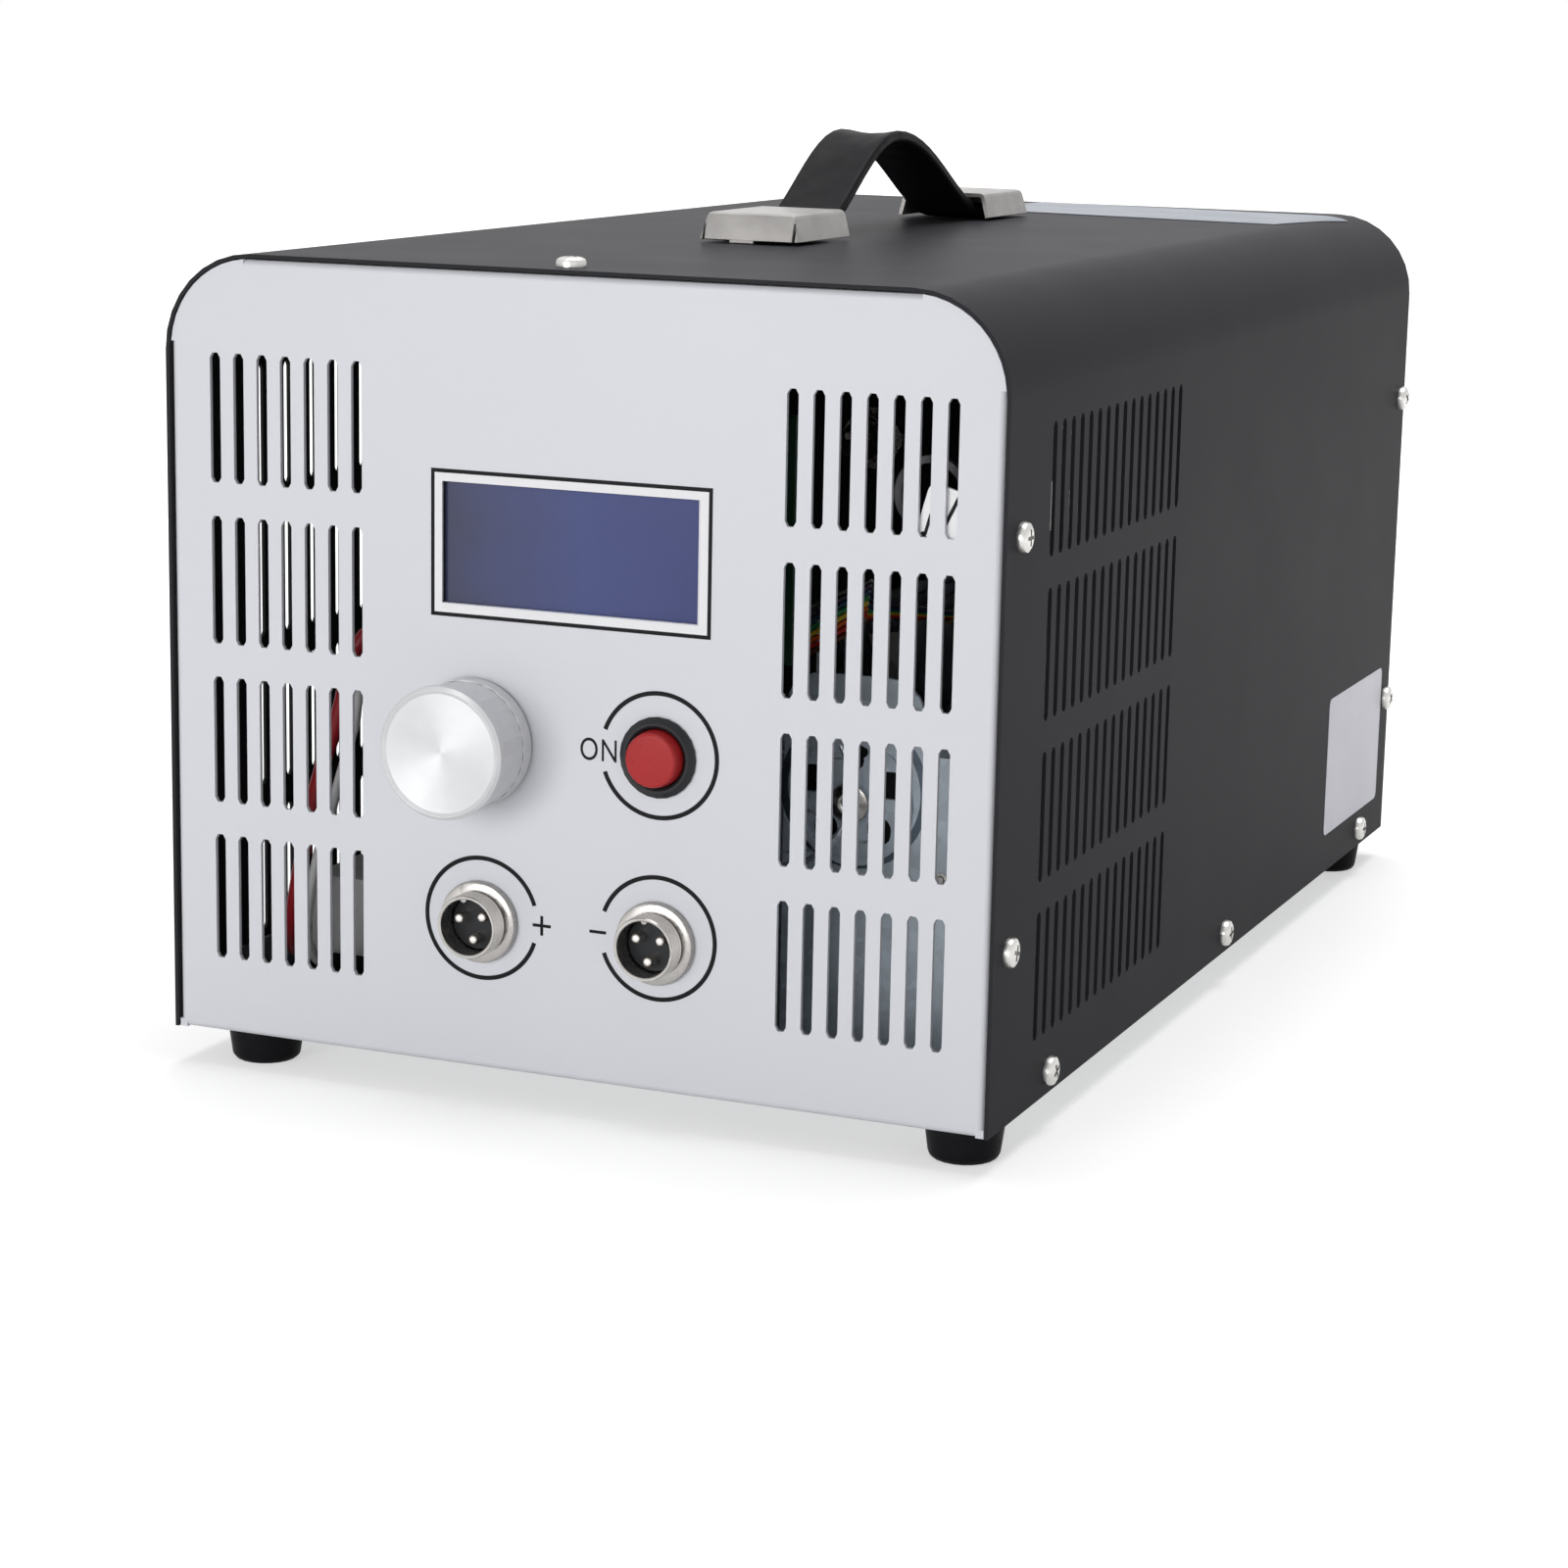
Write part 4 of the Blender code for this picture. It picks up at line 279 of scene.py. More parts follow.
def turnedMetal(name, colour, roughness, middle):
    # lathe rings round an axis along Y through the middle point
    material, tree, shader = newMaterial(name, colour, roughness, 0.30)
    grooves = {"Scale": 620.0, "Distortion": 1.5, "Detail": 2.0, "Detail Scale": 3.0}
    rings = addNode(tree, "ShaderNodeTexWave", grooves, wave_type="RINGS", rings_direction="Z")
    tree.links.new(coordinates(tree, middle=middle, turn=facingFront), rings.inputs["Vector"])
    dull = noiseField(tree, 6, 3)
    tint(tree, shader, spread(tree, dull, 0, 1), tuple(part * 0.94 for part in colour), colour)
    uneven = spread(tree, rings.outputs["Fac"], roughness * 0.85, roughness * 1.15, 0, 1)
    tree.links.new(uneven, shader.inputs["Roughness"])
    bump(tree, shader, rings.outputs["Fac"], 0.004)
    shader.inputs["Anisotropic"].default_value = 0.72
    shader.inputs["Anisotropic Rotation"].default_value = 0.25
    circle = addNode(tree, "ShaderNodeTangent", direction_type="RADIAL", axis="Y")
    tree.links.new(circle.outputs["Tangent"], shader.inputs["Tangent"])
    return material


knobMetal = turnedMetal("turnedAluminium", (0.655, 0.66, 0.675), 0.38, middleOf("knob"))
sinkMetal = brushedMetal("extrudedAluminium", (0.66, 0.71, 0.76), 0.36, "y", 0.5)


def galvanisedMetal(name, colour):
    # zinc spangle: flat crystals of slightly different brightness
    material, tree, shader = newMaterial(name, colour, 0.38, 0.15)
    crystals = addNode(tree, "ShaderNodeTexVoronoi", {"Scale": 260.0})
    tree.links.new(coordinates(tree), crystals.inputs["Vector"])
    shade = addNode(tree, "ShaderNodeSeparateColor")
    tree.links.new(crystals.outputs["Color"], shade.inputs["Color"])
    tint(tree, shader, shade.outputs["Red"], tuple(part * 0.82 for part in colour), colour)
    tree.links.new(spread(tree, shade.outputs["Green"], 0.28, 0.48, 0, 1), shader.inputs["Roughness"])
    bump(tree, shader, noiseField(tree, 1.5, 2), 0.01)
    return material


galvanised = galvanisedMetal("galvanisedSteel", (0.80, 0.90, 1.0))
# dark steel used only in the plate's groove, as painted shade
grooveShadeSteel = platedMetal("pressedSteelGrooveShade", (0.13, 0.16, 0.20), 0.4)


def boardFinish(name, colour):
    # solder resist with copper tracks under it
    material, tree, shader = newMaterial(name, colour, 0.3)
    layout = {"Scale": 1.0, "Mortar Size": 0.0003, "Brick Width": 0.009, "Row Height": 0.0021}
    tracks = addNode(tree, "ShaderNodeTexBrick", layout)
    tree.links.new(coordinates(tree), tracks.inputs["Vector"])
    tint(tree, shader, tracks.outputs["Fac"], colour, tuple(part * 2.2 + 0.01 for part in colour))
    bump(tree, shader, tracks.outputs["Fac"], 0.03)
    return material


boardGreen = boardFinish("greenBoard", (0.007, 0.030, 0.015))

display = {
    "stops": [(0.02, (0.046, 0.050, 0.094)), (0.2, (0.056, 0.063, 0.145)),
              (0.55, (0.054, 0.071, 0.205)), (1.0, (0.043, 0.054, 0.175))],      # left to right: darker and greyer at the left as painted shade, brightest past the middle
    "plain": (0.054, 0.071, 0.205),
    "leftEdge": (-35.1, -33.7),     # the window's shadow on the glass fades over this stretch
    "topEdge": (149.4, 150.6),
    "edgeShade": 0.15,
    "shadow": (0.004, 0.004, 0.008),
}


def displayFinish(name, values):
    # unlit blue display, slightly cloudy, darker and greyer towards its left as painted shade, with a painted
    # shadow of the window along its left and top edges
    material, tree, shader = newMaterial(name, values["plain"], 0.14)
    low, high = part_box("display_glass")
    spot = addNode(tree, "ShaderNodeSeparateXYZ")
    tree.links.new(coordinates(tree), spot.inputs["Vector"])
    across = spread(tree, spot.outputs["X"], 0, 1, low.x, high.x)
    cloud = spread(tree, noiseField(tree, 22, 2), -0.06, 0.06)
    ramp = addNode(tree, "ShaderNodeValToRGB")
    elements = ramp.color_ramp.elements
    first, *between, last = values["stops"]
    for element, (position, colour) in zip(elements, (first, last)):
        element.position = position
        element.color = (*colour, 1)
    for position, colour in between:
        elements.new(position).color = (*colour, 1)
    tree.links.new(combine(tree, "ADD", across, cloud), ramp.inputs["Fac"])
    # painted shadow: the colour darkens towards the shadow colour near the window's left and top edges
    left, right = (part * mm for part in values["leftEdge"])
    leftShadowMask = spread(tree, spot.outputs["X"], values["edgeShade"], 1, left, right)
    below, above = (coverBottom + part * mm for part in values["topEdge"])
    topShadowMask = spread(tree, spot.outputs["Z"], 1, values["edgeShade"], below, above)
    dark = addNode(tree, "ShaderNodeMix", data_type="RGBA")
    dark.inputs[6].default_value = (*values["shadow"], 1)
    tree.links.new(combine(tree, "MULTIPLY", leftShadowMask, topShadowMask), dark.inputs[0])
    tree.links.new(ramp.outputs["Color"], dark.inputs[7])
    tree.links.new(dark.outputs[2], shader.inputs["Base Color"])
    bump(tree, shader, noiseField(tree, 8, 1), 0.004)
    shader.inputs["Specular IOR Level"].default_value = 0.25
    return material


displayBlue = displayFinish("blueDisplay", display)


def insulationFinish(name, colour, grain=0.6):
    return mouldedFinish(name, colour, 0.35, grain, 0.006, 0.4, 10, 0.08)


redInsulation = insulationFinish("redInsulation", (0.42, 0.02, 0.03))
greyInsulation = insulationFinish("greyInsulation", (0.78, 0.78, 0.79))


def dress(material, *names):
    for name in names:
        mesh = nodes[name].data
        mesh.materials.clear()
        mesh.materials.append(material)


dress(coverPaint, "top_cover", "rear_panel")
dress(panelPaint, "front_panel")
dress(traySteel, "base_tray")
dress(rubber, "foot_front_left", "foot_front_right", "foot_rear_left", "foot_rear_right", "handle_strap")
dress(capSteel, "handle_cap_front", "handle_cap_rear")
dress(knobMetal, "knob")
dress(blackPlastic, "encoder_body", "encoder_rotor", "power_switch_body", "power_switch_nut")
dress(blackPlastic, "positive_socket_insert", "negative_socket_insert", "data_socket_insert")
dress(blackPlastic, "fan_impeller", "exhaust_fan_frame", "exhaust_fan_rotor", "mains_inlet")
dress(redPlastic, "power_button")
dress(greyPlastic, "relay_module", "fuse_drawer")
dress(nickel, "encoder_nut", "encoder_shaft", "fan_guard")
dress(nickel, "positive_socket_shell", "negative_socket_shell", "data_socket_shell")
dress(nickel, "positive_socket_nut", "negative_socket_nut", "data_socket_nut")
dress(displayBlue, "display_glass")
dress(galvanised, "display_frame", "motor_bracket", "motor_can", "supply_case")
dress(boardGreen, "display_board", "control_board", "encoder_board", "power_board", "supply_board")
dress(sinkMetal, "load_heatsink")
dress(redInsulation, "battery_wire_red")
dress(greyInsulation, "battery_wire_grey", "ribbon_cable")
print("frame dressed")


# Modelling helpers
def deselectAll():
    if bpy.context.mode != "OBJECT":
        objectMode()
    bpy.ops.object.select_all(action="DESELECT")


def editMode():
    bpy.ops.object.mode_set(mode="EDIT")


def objectMode():
    bpy.ops.object.mode_set(mode="OBJECT")


def selectOnly(piece, *others):
    # the piece is the active one, with the others selected beside it
    deselectAll()
    for part in (piece, *others):
        part.select_set(True)
    bpy.context.view_layer.objects.active = piece


def selectWhere(kind, test):
    # picks faces, edges or vertices of the piece in edit mode by their place
    mesh = bpy.context.edit_object.data
    bpy.ops.mesh.select_all(action="DESELECT")
    bpy.ops.mesh.select_mode(type={"verts": "VERT", "edges": "EDGE", "faces": "FACE"}[kind])
    shape = bmesh.from_edit_mesh(mesh)
    for part in getattr(shape, kind):
        part.select_set(test(part))
    shape.select_flush_mode()
    bmesh.update_edit_mesh(mesh)


def selectWhole():
    bpy.ops.mesh.select_all(action="SELECT")


def closeShape():
    # turns every face outwards and leaves edit mode
    selectWhole()
    bpy.ops.mesh.normals_make_consistent(inside=False)
    objectMode()


def bevelAll(width):
    # rounds every edge of the new piece
    editMode()
    selectWhole()
    bpy.ops.mesh.bevel(offset=width * mm, segments=2)
    objectMode()


def applyModifiers(piece):
    bpy.context.view_layer.objects.active = piece
    for modifier in list(piece.modifiers):
        bpy.ops.object.modifier_apply(modifier=modifier.name)


def thicken(piece, thick, offset):
    solid = piece.modifiers.new("thickness", "SOLIDIFY")
    solid.thickness = thick * mm
    solid.offset = offset
    applyModifiers(piece)


def cutAway(piece, cutter):
    cut = piece.modifiers.new("cut", "BOOLEAN")
    cut.object = cutter
    cut.solver = "EXACT"
    applyModifiers(piece)
    bpy.data.objects.remove(cutter)


def finishPiece(name, material, body, smooth=35, stands=()):
    piece = bpy.context.object
    selectOnly(piece)
    bpy.ops.object.transform_apply(location=True, rotation=True, scale=True)
    piece.name = name
    piece.data.name = name
    if material is not None:
        piece.data.materials.clear()
        piece.data.materials.append(material)
    bpy.ops.object.shade_smooth_by_angle(angle=math.radians(smooth))
    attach(piece, body)
    if stands:
        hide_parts(*stands)


def copyNode(node):
    # a merged copy of a CAD node with flat faces joined up
    piece = nodes[node].copy()
    piece.data = nodes[node].data.copy()
    piece.parent = None
    for key in [key for key in piece.keys() if key.startswith("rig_")]:
        del piece[key]
    bpy.context.scene.collection.objects.link(piece)
    selectOnly(piece)
    editMode()
    bpy.ops.mesh.customdata_custom_splitnormals_clear()
    selectWhole()
    bpy.ops.mesh.remove_doubles(threshold=0.005 * mm)
    bpy.ops.mesh.normals_make_consistent(inside=False)
    bpy.ops.mesh.dissolve_limited(angle_limit=math.radians(0.6))
    objectMode()
    return piece


def softCopy(node, name, material, width, segments=2, smooth=35, reshape=None):
    # the same piece with its sharp edges rounded as paint and deburring leave them
    piece = copyNode(node)
    if reshape is not None:
        reshape(piece)
    bevel = piece.modifiers.new("rounded", "BEVEL")
    bevel.width = width * mm
    bevel.segments = segments
    bevel.limit_method = "ANGLE"
    bevel.angle_limit = math.radians(30)
    applyModifiers(piece)
    finishPiece(name, material, nodes[node]["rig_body"], smooth, (node,))
    weights = piece.modifiers.new("flatFaces", "WEIGHTED_NORMAL")
    weights.keep_sharp = True
    applyModifiers(piece)


# Turned shapes: a profile of (radius, depth) pairs in mm is spun round an axis along Y
def turnedShape(profile, centre, facing=1, steps=48):
    deselectAll()
    spots = [centre + Vector((radius * mm, facing * depth * mm, 0)) for radius, depth in profile]
    bpy.ops.mesh.primitive_plane_add(size=1 * mm, location=spots[0])
    editMode()
    bpy.ops.mesh.select_mode(type="VERT")
    selectWhole()
    bpy.ops.mesh.merge(type="CENTER")
    for here, there in zip(spots, spots[1:]):
        bpy.ops.mesh.extrude_vertices_move(TRANSFORM_OT_translate={"value": tuple(there - here)})
    selectWhole()
    bpy.ops.mesh.spin(steps=steps, angle=math.tau, center=tuple(centre), axis=(0, 1, 0))
    selectWhole()
    bpy.ops.mesh.remove_doubles(threshold=0.002 * mm)
    closeShape()
    return bpy.context.object


def addRectangle(wide, tall, where=(0, 0, 0), rotation=(0, 0, 0)):
    # a flat rectangle in mm, left selected in edit mode
    deselectAll()
    bpy.ops.mesh.primitive_plane_add(size=1, location=where, rotation=rotation)
    bpy.context.object.scale = (wide * mm, tall * mm, 1)
    bpy.ops.object.transform_apply(location=False, rotation=False, scale=True)
    editMode()
    selectWhole()


def thinPlate(name, material, wide, long, corner, thick, where, rotation):
    # a sheet with rounded corners, its back at the given place
    addRectangle(wide, long)
    bpy.ops.mesh.bevel(offset=corner * mm, segments=6, affect="VERTICES")
    selectWhole()
    bpy.ops.mesh.extrude_region_move(TRANSFORM_OT_translate={"value": (0, 0, thick * mm)})
    closeShape()
    bpy.context.object.rotation_euler = rotation
    bpy.context.object.location = where
    finishPiece(name, material, "case")


# Printed rings and marks on the front panel
prints = {
    "depth": 0.06,
    "line": 1.15,
    "ringRadius": 16.15,
    "rings": {      # x, z, where the ring is open and half the opening, in degrees
        "plusRing": (-23.4, 39.5, 0, 18),
        "minusRing": (25.5, 39.8, 180, 20),
        "buttonRing": (25.3, 86.1, 180, 20),
    },
    "border": (-37.9, 38.7, 116.1, 153.1),
    "borderLine": 1.0,
    "bandLine": 2.1,
    "markLine": 0.8,
    "plus": (-6.5, 39.4, 5.1),      # x, z and length
    "minus": (9.1, 39.6, 4.6),
    "word": {"text": "ON", "box": (3.9, 13.8, 83.2, 88.9), "size": 6, "spacing": 1.12},
}


def onPanel(x, z):
    # the middle of a print that lies on the paint
    return place(x, -prints["depth"] * 0.5, z)


def finishInk(name, ink):
    thicken(bpy.context.object, prints["depth"], 0)
    finishPiece(name, ink, "case")


def printedRing(name, x, z, openAt, halfGap):
    deselectAll()
    inner = prints["ringRadius"] - prints["line"]
    bpy.ops.mesh.primitive_circle_add(vertices=180, radius=inner * mm, location=onPanel(x, z),
                                      rotation=facingFront)
    editMode()

    def inGap(vertex):
        angle = math.degrees(math.atan2(vertex.co.y, vertex.co.x))
        apart = abs((angle - openAt + 180) % 360 - 180)
        return apart < halfGap - 0.5

    selectWhere("verts", inGap)
    bpy.ops.mesh.delete(type="VERT")
    selectWhole()
    bpy.ops.mesh.extrude_edges_move()
    grow = prints["ringRadius"] / inner
    bpy.ops.transform.resize(value=(grow, grow, grow), center_override=onPanel(x, z))
    closeShape()
    finishInk(name, inkBlack)


def printedBorder(name, line, inset, ink):
    left, right, low, high = prints["border"]
    middle = onPanel((left + right) / 2, (low + high) / 2)
    addRectangle(right - left - 2 * inset, high - low - 2 * inset, middle, facingFront)
    bpy.ops.mesh.inset(thickness=line * mm)
    bpy.ops.mesh.delete(type="FACE")
    objectMode()
    finishInk(name, ink)


def printedMark(name, x, z, length, directions):
    # strokes pulled out of a small square; its own y is the world's z
    deselectAll()
    side = prints["markLine"] * mm
    reach = (length * mm - side) / 2
    bpy.ops.mesh.primitive_plane_add(size=side, location=onPanel(x, z), rotation=facingFront)
    editMode()
    for across, climb in directions:

        def atEnd(edge):
            spots = [vertex.co for vertex in edge.verts]
            on = all(abs(spot.x * across + spot.y * climb - side / 2) < side * 0.01 for spot in spots)
            return on and all(abs(spot.x * climb + spot.y * across) < side * 0.51 for spot in spots)

        selectWhere("edges", atEnd)
        step = (across * reach, 0, climb * reach)
        bpy.ops.mesh.extrude_edges_move(TRANSFORM_OT_translate={"value": step})
    objectMode()
    finishInk(name, inkBlack)


def printedWord(name, values, material):
    # generic switch word, fitted to its place on the panel
    left, right, low, high = values["box"]
    deselectAll()
    bpy.ops.object.text_add(location=(0, 0, 0))
    text = bpy.context.object.data
    text.body = values["text"]
    text.size = values["size"] * mm
    text.extrude = prints["depth"] * 0.5 * mm
    text.space_character = values["spacing"]
    bpy.ops.object.convert(target="MESH")
    piece = bpy.context.object
    across = [vertex.co.x for vertex in piece.data.vertices]
    up = [vertex.co.y for vertex in piece.data.vertices]
    wide = (right - left) * mm / (max(across) - min(across))
    tall = (high - low) * mm / (max(up) - min(up))
    middle = Vector((min(across) + max(across), min(up) + max(up), 0)) / 2
    piece.data.transform(Matrix.Diagonal((wide, tall, 1, 1)) @ Matrix.Translation(-middle))
    piece.rotation_euler = facingFront
    piece.location = onPanel((left + right) / 2, (low + high) / 2)
    finishPiece(name, material, "case")


for ringName, ringPlace in prints["rings"].items():
    printedRing(ringName, *ringPlace)
printedBorder("displayBorder", prints["borderLine"], 0, inkBlack)
printedBorder("displayBand", prints["bandLine"], prints["borderLine"], inkWhite)
printedMark("plusMark", *prints["plus"], ((1, 0), (-1, 0), (0, 1), (0, -1)))
printedMark("minusMark", *prints["minus"], ((1, 0), (-1, 0)))
printedWord("onWord", prints["word"], inkBlack)
print("prints made")


# Cover screws
screws = {
    "headRadius": 3.8,
    "headHeight": 2.4,
    "dome": ((0.42, 1.0), (0.72, 0.93), (0.90, 0.74), (1.0, 0.46)),      # shares of the height and radius
    "recess": 1.25,
    "recessWidth": 0.95,
    "recessReach": 2.0,
    "walls": [(10, 145.5), (10, 44.5), (387, 145), (387, 45), (44, 6), (202, 6), (359, 6)],      # y, z
    "top": [(-5.5, 12)],      # x, y
    "twist": 37,
}


def screwHead(values):
    # modelled once round the origin, facing +Z
    deselectAll()
    radius, height = values["headRadius"] * mm, values["headHeight"] * mm
    bpy.ops.mesh.primitive_circle_add(vertices=40, radius=radius, fill_type="NGON", location=(0, 0, 0))
    editMode()
    selectWhole()
    doneHeight, doneWidth = 0.0, 1.0
    for climb, width in values["dome"]:
        step = (0, 0, (climb - doneHeight) * height)
        bpy.ops.mesh.extrude_region_move(TRANSFORM_OT_translate={"value": step})
        ratio = width / doneWidth
        bpy.ops.transform.resize(value=(ratio, ratio, 1), center_override=(0, 0, climb * height))
        doneHeight, doneWidth = climb, width
    closeShape()
    head = bpy.context.object
    deselectAll()
    reach, wide, deep = values["recessReach"] * 2 * mm, values["recessWidth"] * mm, values["recess"] * 2 * mm
    for size in ((reach, wide, deep), (wide, reach, deep)):
        bpy.ops.mesh.primitive_cube_add(size=1, location=(0, 0, height))
        bpy.context.object.scale = size
        bpy.ops.object.transform_apply(location=True, rotation=True, scale=True)
        cutAway(head, bpy.context.object)
    return head


def setScrew(name, head, spot, turned, twist):
    screw = head.copy()
    screw.data = head.data.copy()
    bpy.context.scene.collection.objects.link(screw)
    screw.data.transform(Matrix.Translation(spot) @ turned @ Matrix.Rotation(math.radians(twist), 4, "Z"))
    selectOnly(screw)
    finishPiece(name, screwSteel, "case", 30)


def placeScrews(values):
    head = screwHead(values)
    spots = []
    for y, z in values["walls"]:
        for side in (1, -1):
            spots.append((place(side * coverSide / mm, y, z), Matrix.Rotation(side * math.pi / 2, 4, "Y")))
    for x, y in values["top"]:
        spots.append((place(x, y, (coverTop - coverBottom) / mm), Matrix.Identity(4)))
    for number, (spot, turned) in enumerate(spots):
        setScrew("coverScrew" + str(number + 1), head, spot, turned, number * values["twist"] % 90)
    bpy.data.objects.remove(head)


placeScrews(screws)
print("cover screws placed")


# Bare label on the right wall and bare sheet on the cover
plates = {
    "label": {"y": (313.4, 381), "z": (12.2, 56.3), "corner": 2.5, "thick": 0.15},
    "sheet": {"corner": (88.5, 314.5), "wide": 110, "long": 60, "turn": -8, "thick": 0.2, "gap": 0.03},
}


def labelOnWall(values):
    (near, far), (low, high) = values["y"], values["z"]
    middle = place(coverSide / mm, (near + far) / 2, (low + high) / 2)
    thinPlate("sideLabel", labelFoil, far - near, high - low, values["corner"], values["thick"],
              middle, facingRight)


def filmOnCover(values):
    # a bare film laid on the cover, following its rounded edge
    deselectAll()
    bpy.ops.mesh.primitive_grid_add(x_subdivisions=44, y_subdivisions=24, size=1, location=(0, 0, 0))
    piece = bpy.context.object
    piece.scale = (values["wide"] * mm, values["long"] * mm, 1)
    piece.rotation_euler = (0, 0, math.radians(values["turn"]))
    bpy.ops.object.transform_apply(location=False, rotation=True, scale=True)
    corner = max((vertex.co for vertex in piece.data.vertices), key=lambda spot: spot.x - spot.y)
    piece.location = place(*values["corner"], 0) - corner
    piece.location.z = coverTop + 5 * mm      # clear of the cover before it is laid down
    wrap = piece.modifiers.new("laidDown", "SHRINKWRAP")
    wrap.target = nodes["top_cover"]
    wrap.wrap_method = "PROJECT"
    wrap.use_project_z = True
    wrap.use_negative_direction = True
    wrap.use_positive_direction = False
    wrap.offset = values["gap"] * mm
    thicken(piece, values["thick"], 1)
    finishPiece("topSheet", sheetFilm, "case")


labelOnWall(plates["label"])
filmOnCover(plates["sheet"])
print("plates placed")


# The left wall's vents sit a little further forward
vents = {"y": (20, 150), "z": (8, 175), "sheet": 1.5, "forward": 1.9}


def shiftLeftVents(piece):
    low, high = (place(0, y, z) for y, z in zip(vents["y"], vents["z"]))

    def onVents(vertex):
        spot = vertex.co
        onWall = spot.x < -coverSide + vents["sheet"] * mm
        return onWall and low.y < spot.y < high.y and low.z < spot.z < high.z

    bpy.context.view_layer.objects.active = piece
    editMode()
    selectWhere("verts", onVents)
    bpy.ops.transform.translate(value=(0, -vents["forward"] * mm, 0))
    objectMode()


# Stamped motor plate: openings, bearing cap, rims, pressed rings and side wing, with painted shade in its
# groove and behind its openings
motorTrim = {
    "face": 1.5,        # the motor's front to the plate's
    "openings": [(-7.3, -7.2, 3.3, 3.3), (7.3, -6.6, 3.3, 3.3),      # across, up, half sizes
                 (0.2, 13.2, 3.7, 2.2)],
    "rimWire": 0.5,
    "cap": {"radius": 5.2, "reach": 1.3, "lift": 2.2},
    "pressed": (0.3, 2.9),      # the rings' middle
    "rings": [(17.9, 0.3), (21.6, 0.7), (23.2, 0.45)],      # radius and wire
    "groove": (18.1, 20.2),
    "openingShade": {"radius": 16.2, "depth": 1.45},
    "wing": {"x": (78.2, 92), "y": 46.2, "z": (3.2, 83), "corner": 3, "thick": 1.2},
    "screw": (24.4, -17.8),
    "screwProfile": [(0, 0.9), (0.9, 0.8), (1.1, 0.3), (1.9, 0.2), (1.9, 0.02), (0, 0.02)],
}


def onPlate(across, climb):
    # a place on the plate's front, in mm from the motor's axis
    spot = middleOf("motor_can")
    spot.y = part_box("motor_can")[0].y - motorTrim["face"] * mm
    return spot + Vector((across, 0, climb)) * mm


def openPlateHoles(piece):
    for across, climb, halfWide, halfTall in motorTrim["openings"]:
        deselectAll()
        bpy.ops.mesh.primitive_cylinder_add(vertices=32, radius=1 * mm, depth=6 * mm, rotation=facingFront,
                                            location=onPlate(across, climb))
        bpy.context.object.scale = (halfWide, halfTall, 1)
        cutAway(piece, bpy.context.object)


def wireRing(name, spot, radius, wire, steps, stretch=1.0):
    turns = [math.radians(step * 30) for step in range(13)]
    profile = [(radius + wire * math.cos(angle), wire * math.sin(angle)) for angle in turns]
    ring = turnedShape(profile, Vector((0, 0, 0)), -1, steps)
    ring.scale = (1, 1, stretch)
    ring.location = spot
    finishPiece(name, brightSteel, "case", 60)


def trimMotorPlate(values):
    cap = values["cap"]
    reach, wide = cap["reach"], cap["radius"]
    profile = [(0, reach), (1.2, reach), (1.5, reach - 0.5), (2.4, reach - 0.5), (2.9, reach - 0.1)]
    profile += [(wide * 0.7, reach - 0.4), (wide * 0.9, reach - 1.0), (wide, 0.3), (wide, 0.05), (0, 0.05)]
    turnedShape(profile, onPlate(0, 0) - Vector((0, cap["lift"] * mm, 0)), -1, 40)
    finishPiece("bearingCap", nickel, "case", 50)
    for number, (across, climb, halfWide, halfTall) in enumerate(values["openings"]):
        wireRing("holeRim" + str(number + 1), onPlate(across, climb), halfWide + 0.3, values["rimWire"], 32,
                 halfTall / halfWide)
    middle = onPlate(*values["pressed"])
    for number, (radius, wire) in enumerate(values["rings"]):
        wireRing("plateRing" + str(number + 1), middle, radius, wire, 72)
    # a dark ring between the pressed rings: painted shade in the groove
    inner, outer = values["groove"]
    turnedShape([(inner, 0.05), (inner, 0.15), (outer, 0.15), (outer, 0.05), (inner, 0.05)], middle, -1, 72)
    finishPiece("plateGrooveShade", grooveShadeSteel, "case", 30)
    # black disc on the motor's face, seen through the plate's openings: painted shade standing for the dark
    # inside
    radius = values["openingShade"]["radius"]
    back = onPlate(0, 0) + Vector((0, values["openingShade"]["depth"] * mm, 0))
    turnedShape([(0, 0), (radius, 0), (radius, 0.1), (0, 0.1)], back, -1, 48)
    finishPiece("plateOpeningShade", inkBlack, "case", 30)
    wing = values["wing"]
    (left, right), (low, high) = wing["x"], wing["z"]
    thinPlate("plateWing", galvanised, right - left, high - low, wing["corner"], wing["thick"],
              place((left + right) / 2, wing["y"], (low + high) / 2), facingFront)
    turnedShape(values["screwProfile"], onPlate(*values["screw"]), -1, 24)
    finishPiece("wingScrew", nickel, "case", 40)


# Rounded copies of the CAD's own pieces
softCopy("front_panel", "frontPanelSheet", panelPaint, 0.3)
softCopy("rear_panel", "rearPanelSheet", coverPaint, 0.3)
softCopy("top_cover", "coverSheet", coverPaint, 0.25, reshape=shiftLeftVents)
softCopy("base_tray", "baseTraySheet", traySteel, 0.3)
for end in ("front", "rear"):
    softCopy("handle_cap_" + end, "handleCap" + end.capitalize(), capSteel, 0.5, 3)
softCopy("handle_strap", "carryStrap", rubber, 1.2, 4)
softCopy("knob", "turnedKnob", knobMetal, 0.22, smooth=11)
softCopy("power_button", "redButton", redPlastic, 0.4, 3)
softCopy("power_switch_body", "switchBezel", blackPlastic, 0.3)
for corner in ("front_left", "front_right", "rear_left", "rear_right"):
    footName = "rubberFoot" + "".join(part.capitalize() for part in corner.split("_"))
    softCopy("foot_" + corner, footName, rubber, 0.7, 3)
softCopy("motor_bracket", "motorPlate", galvanised, 0.2, reshape=openPlateHoles)
softCopy("mains_inlet", "mainsInlet", blackPlastic, 0.4)
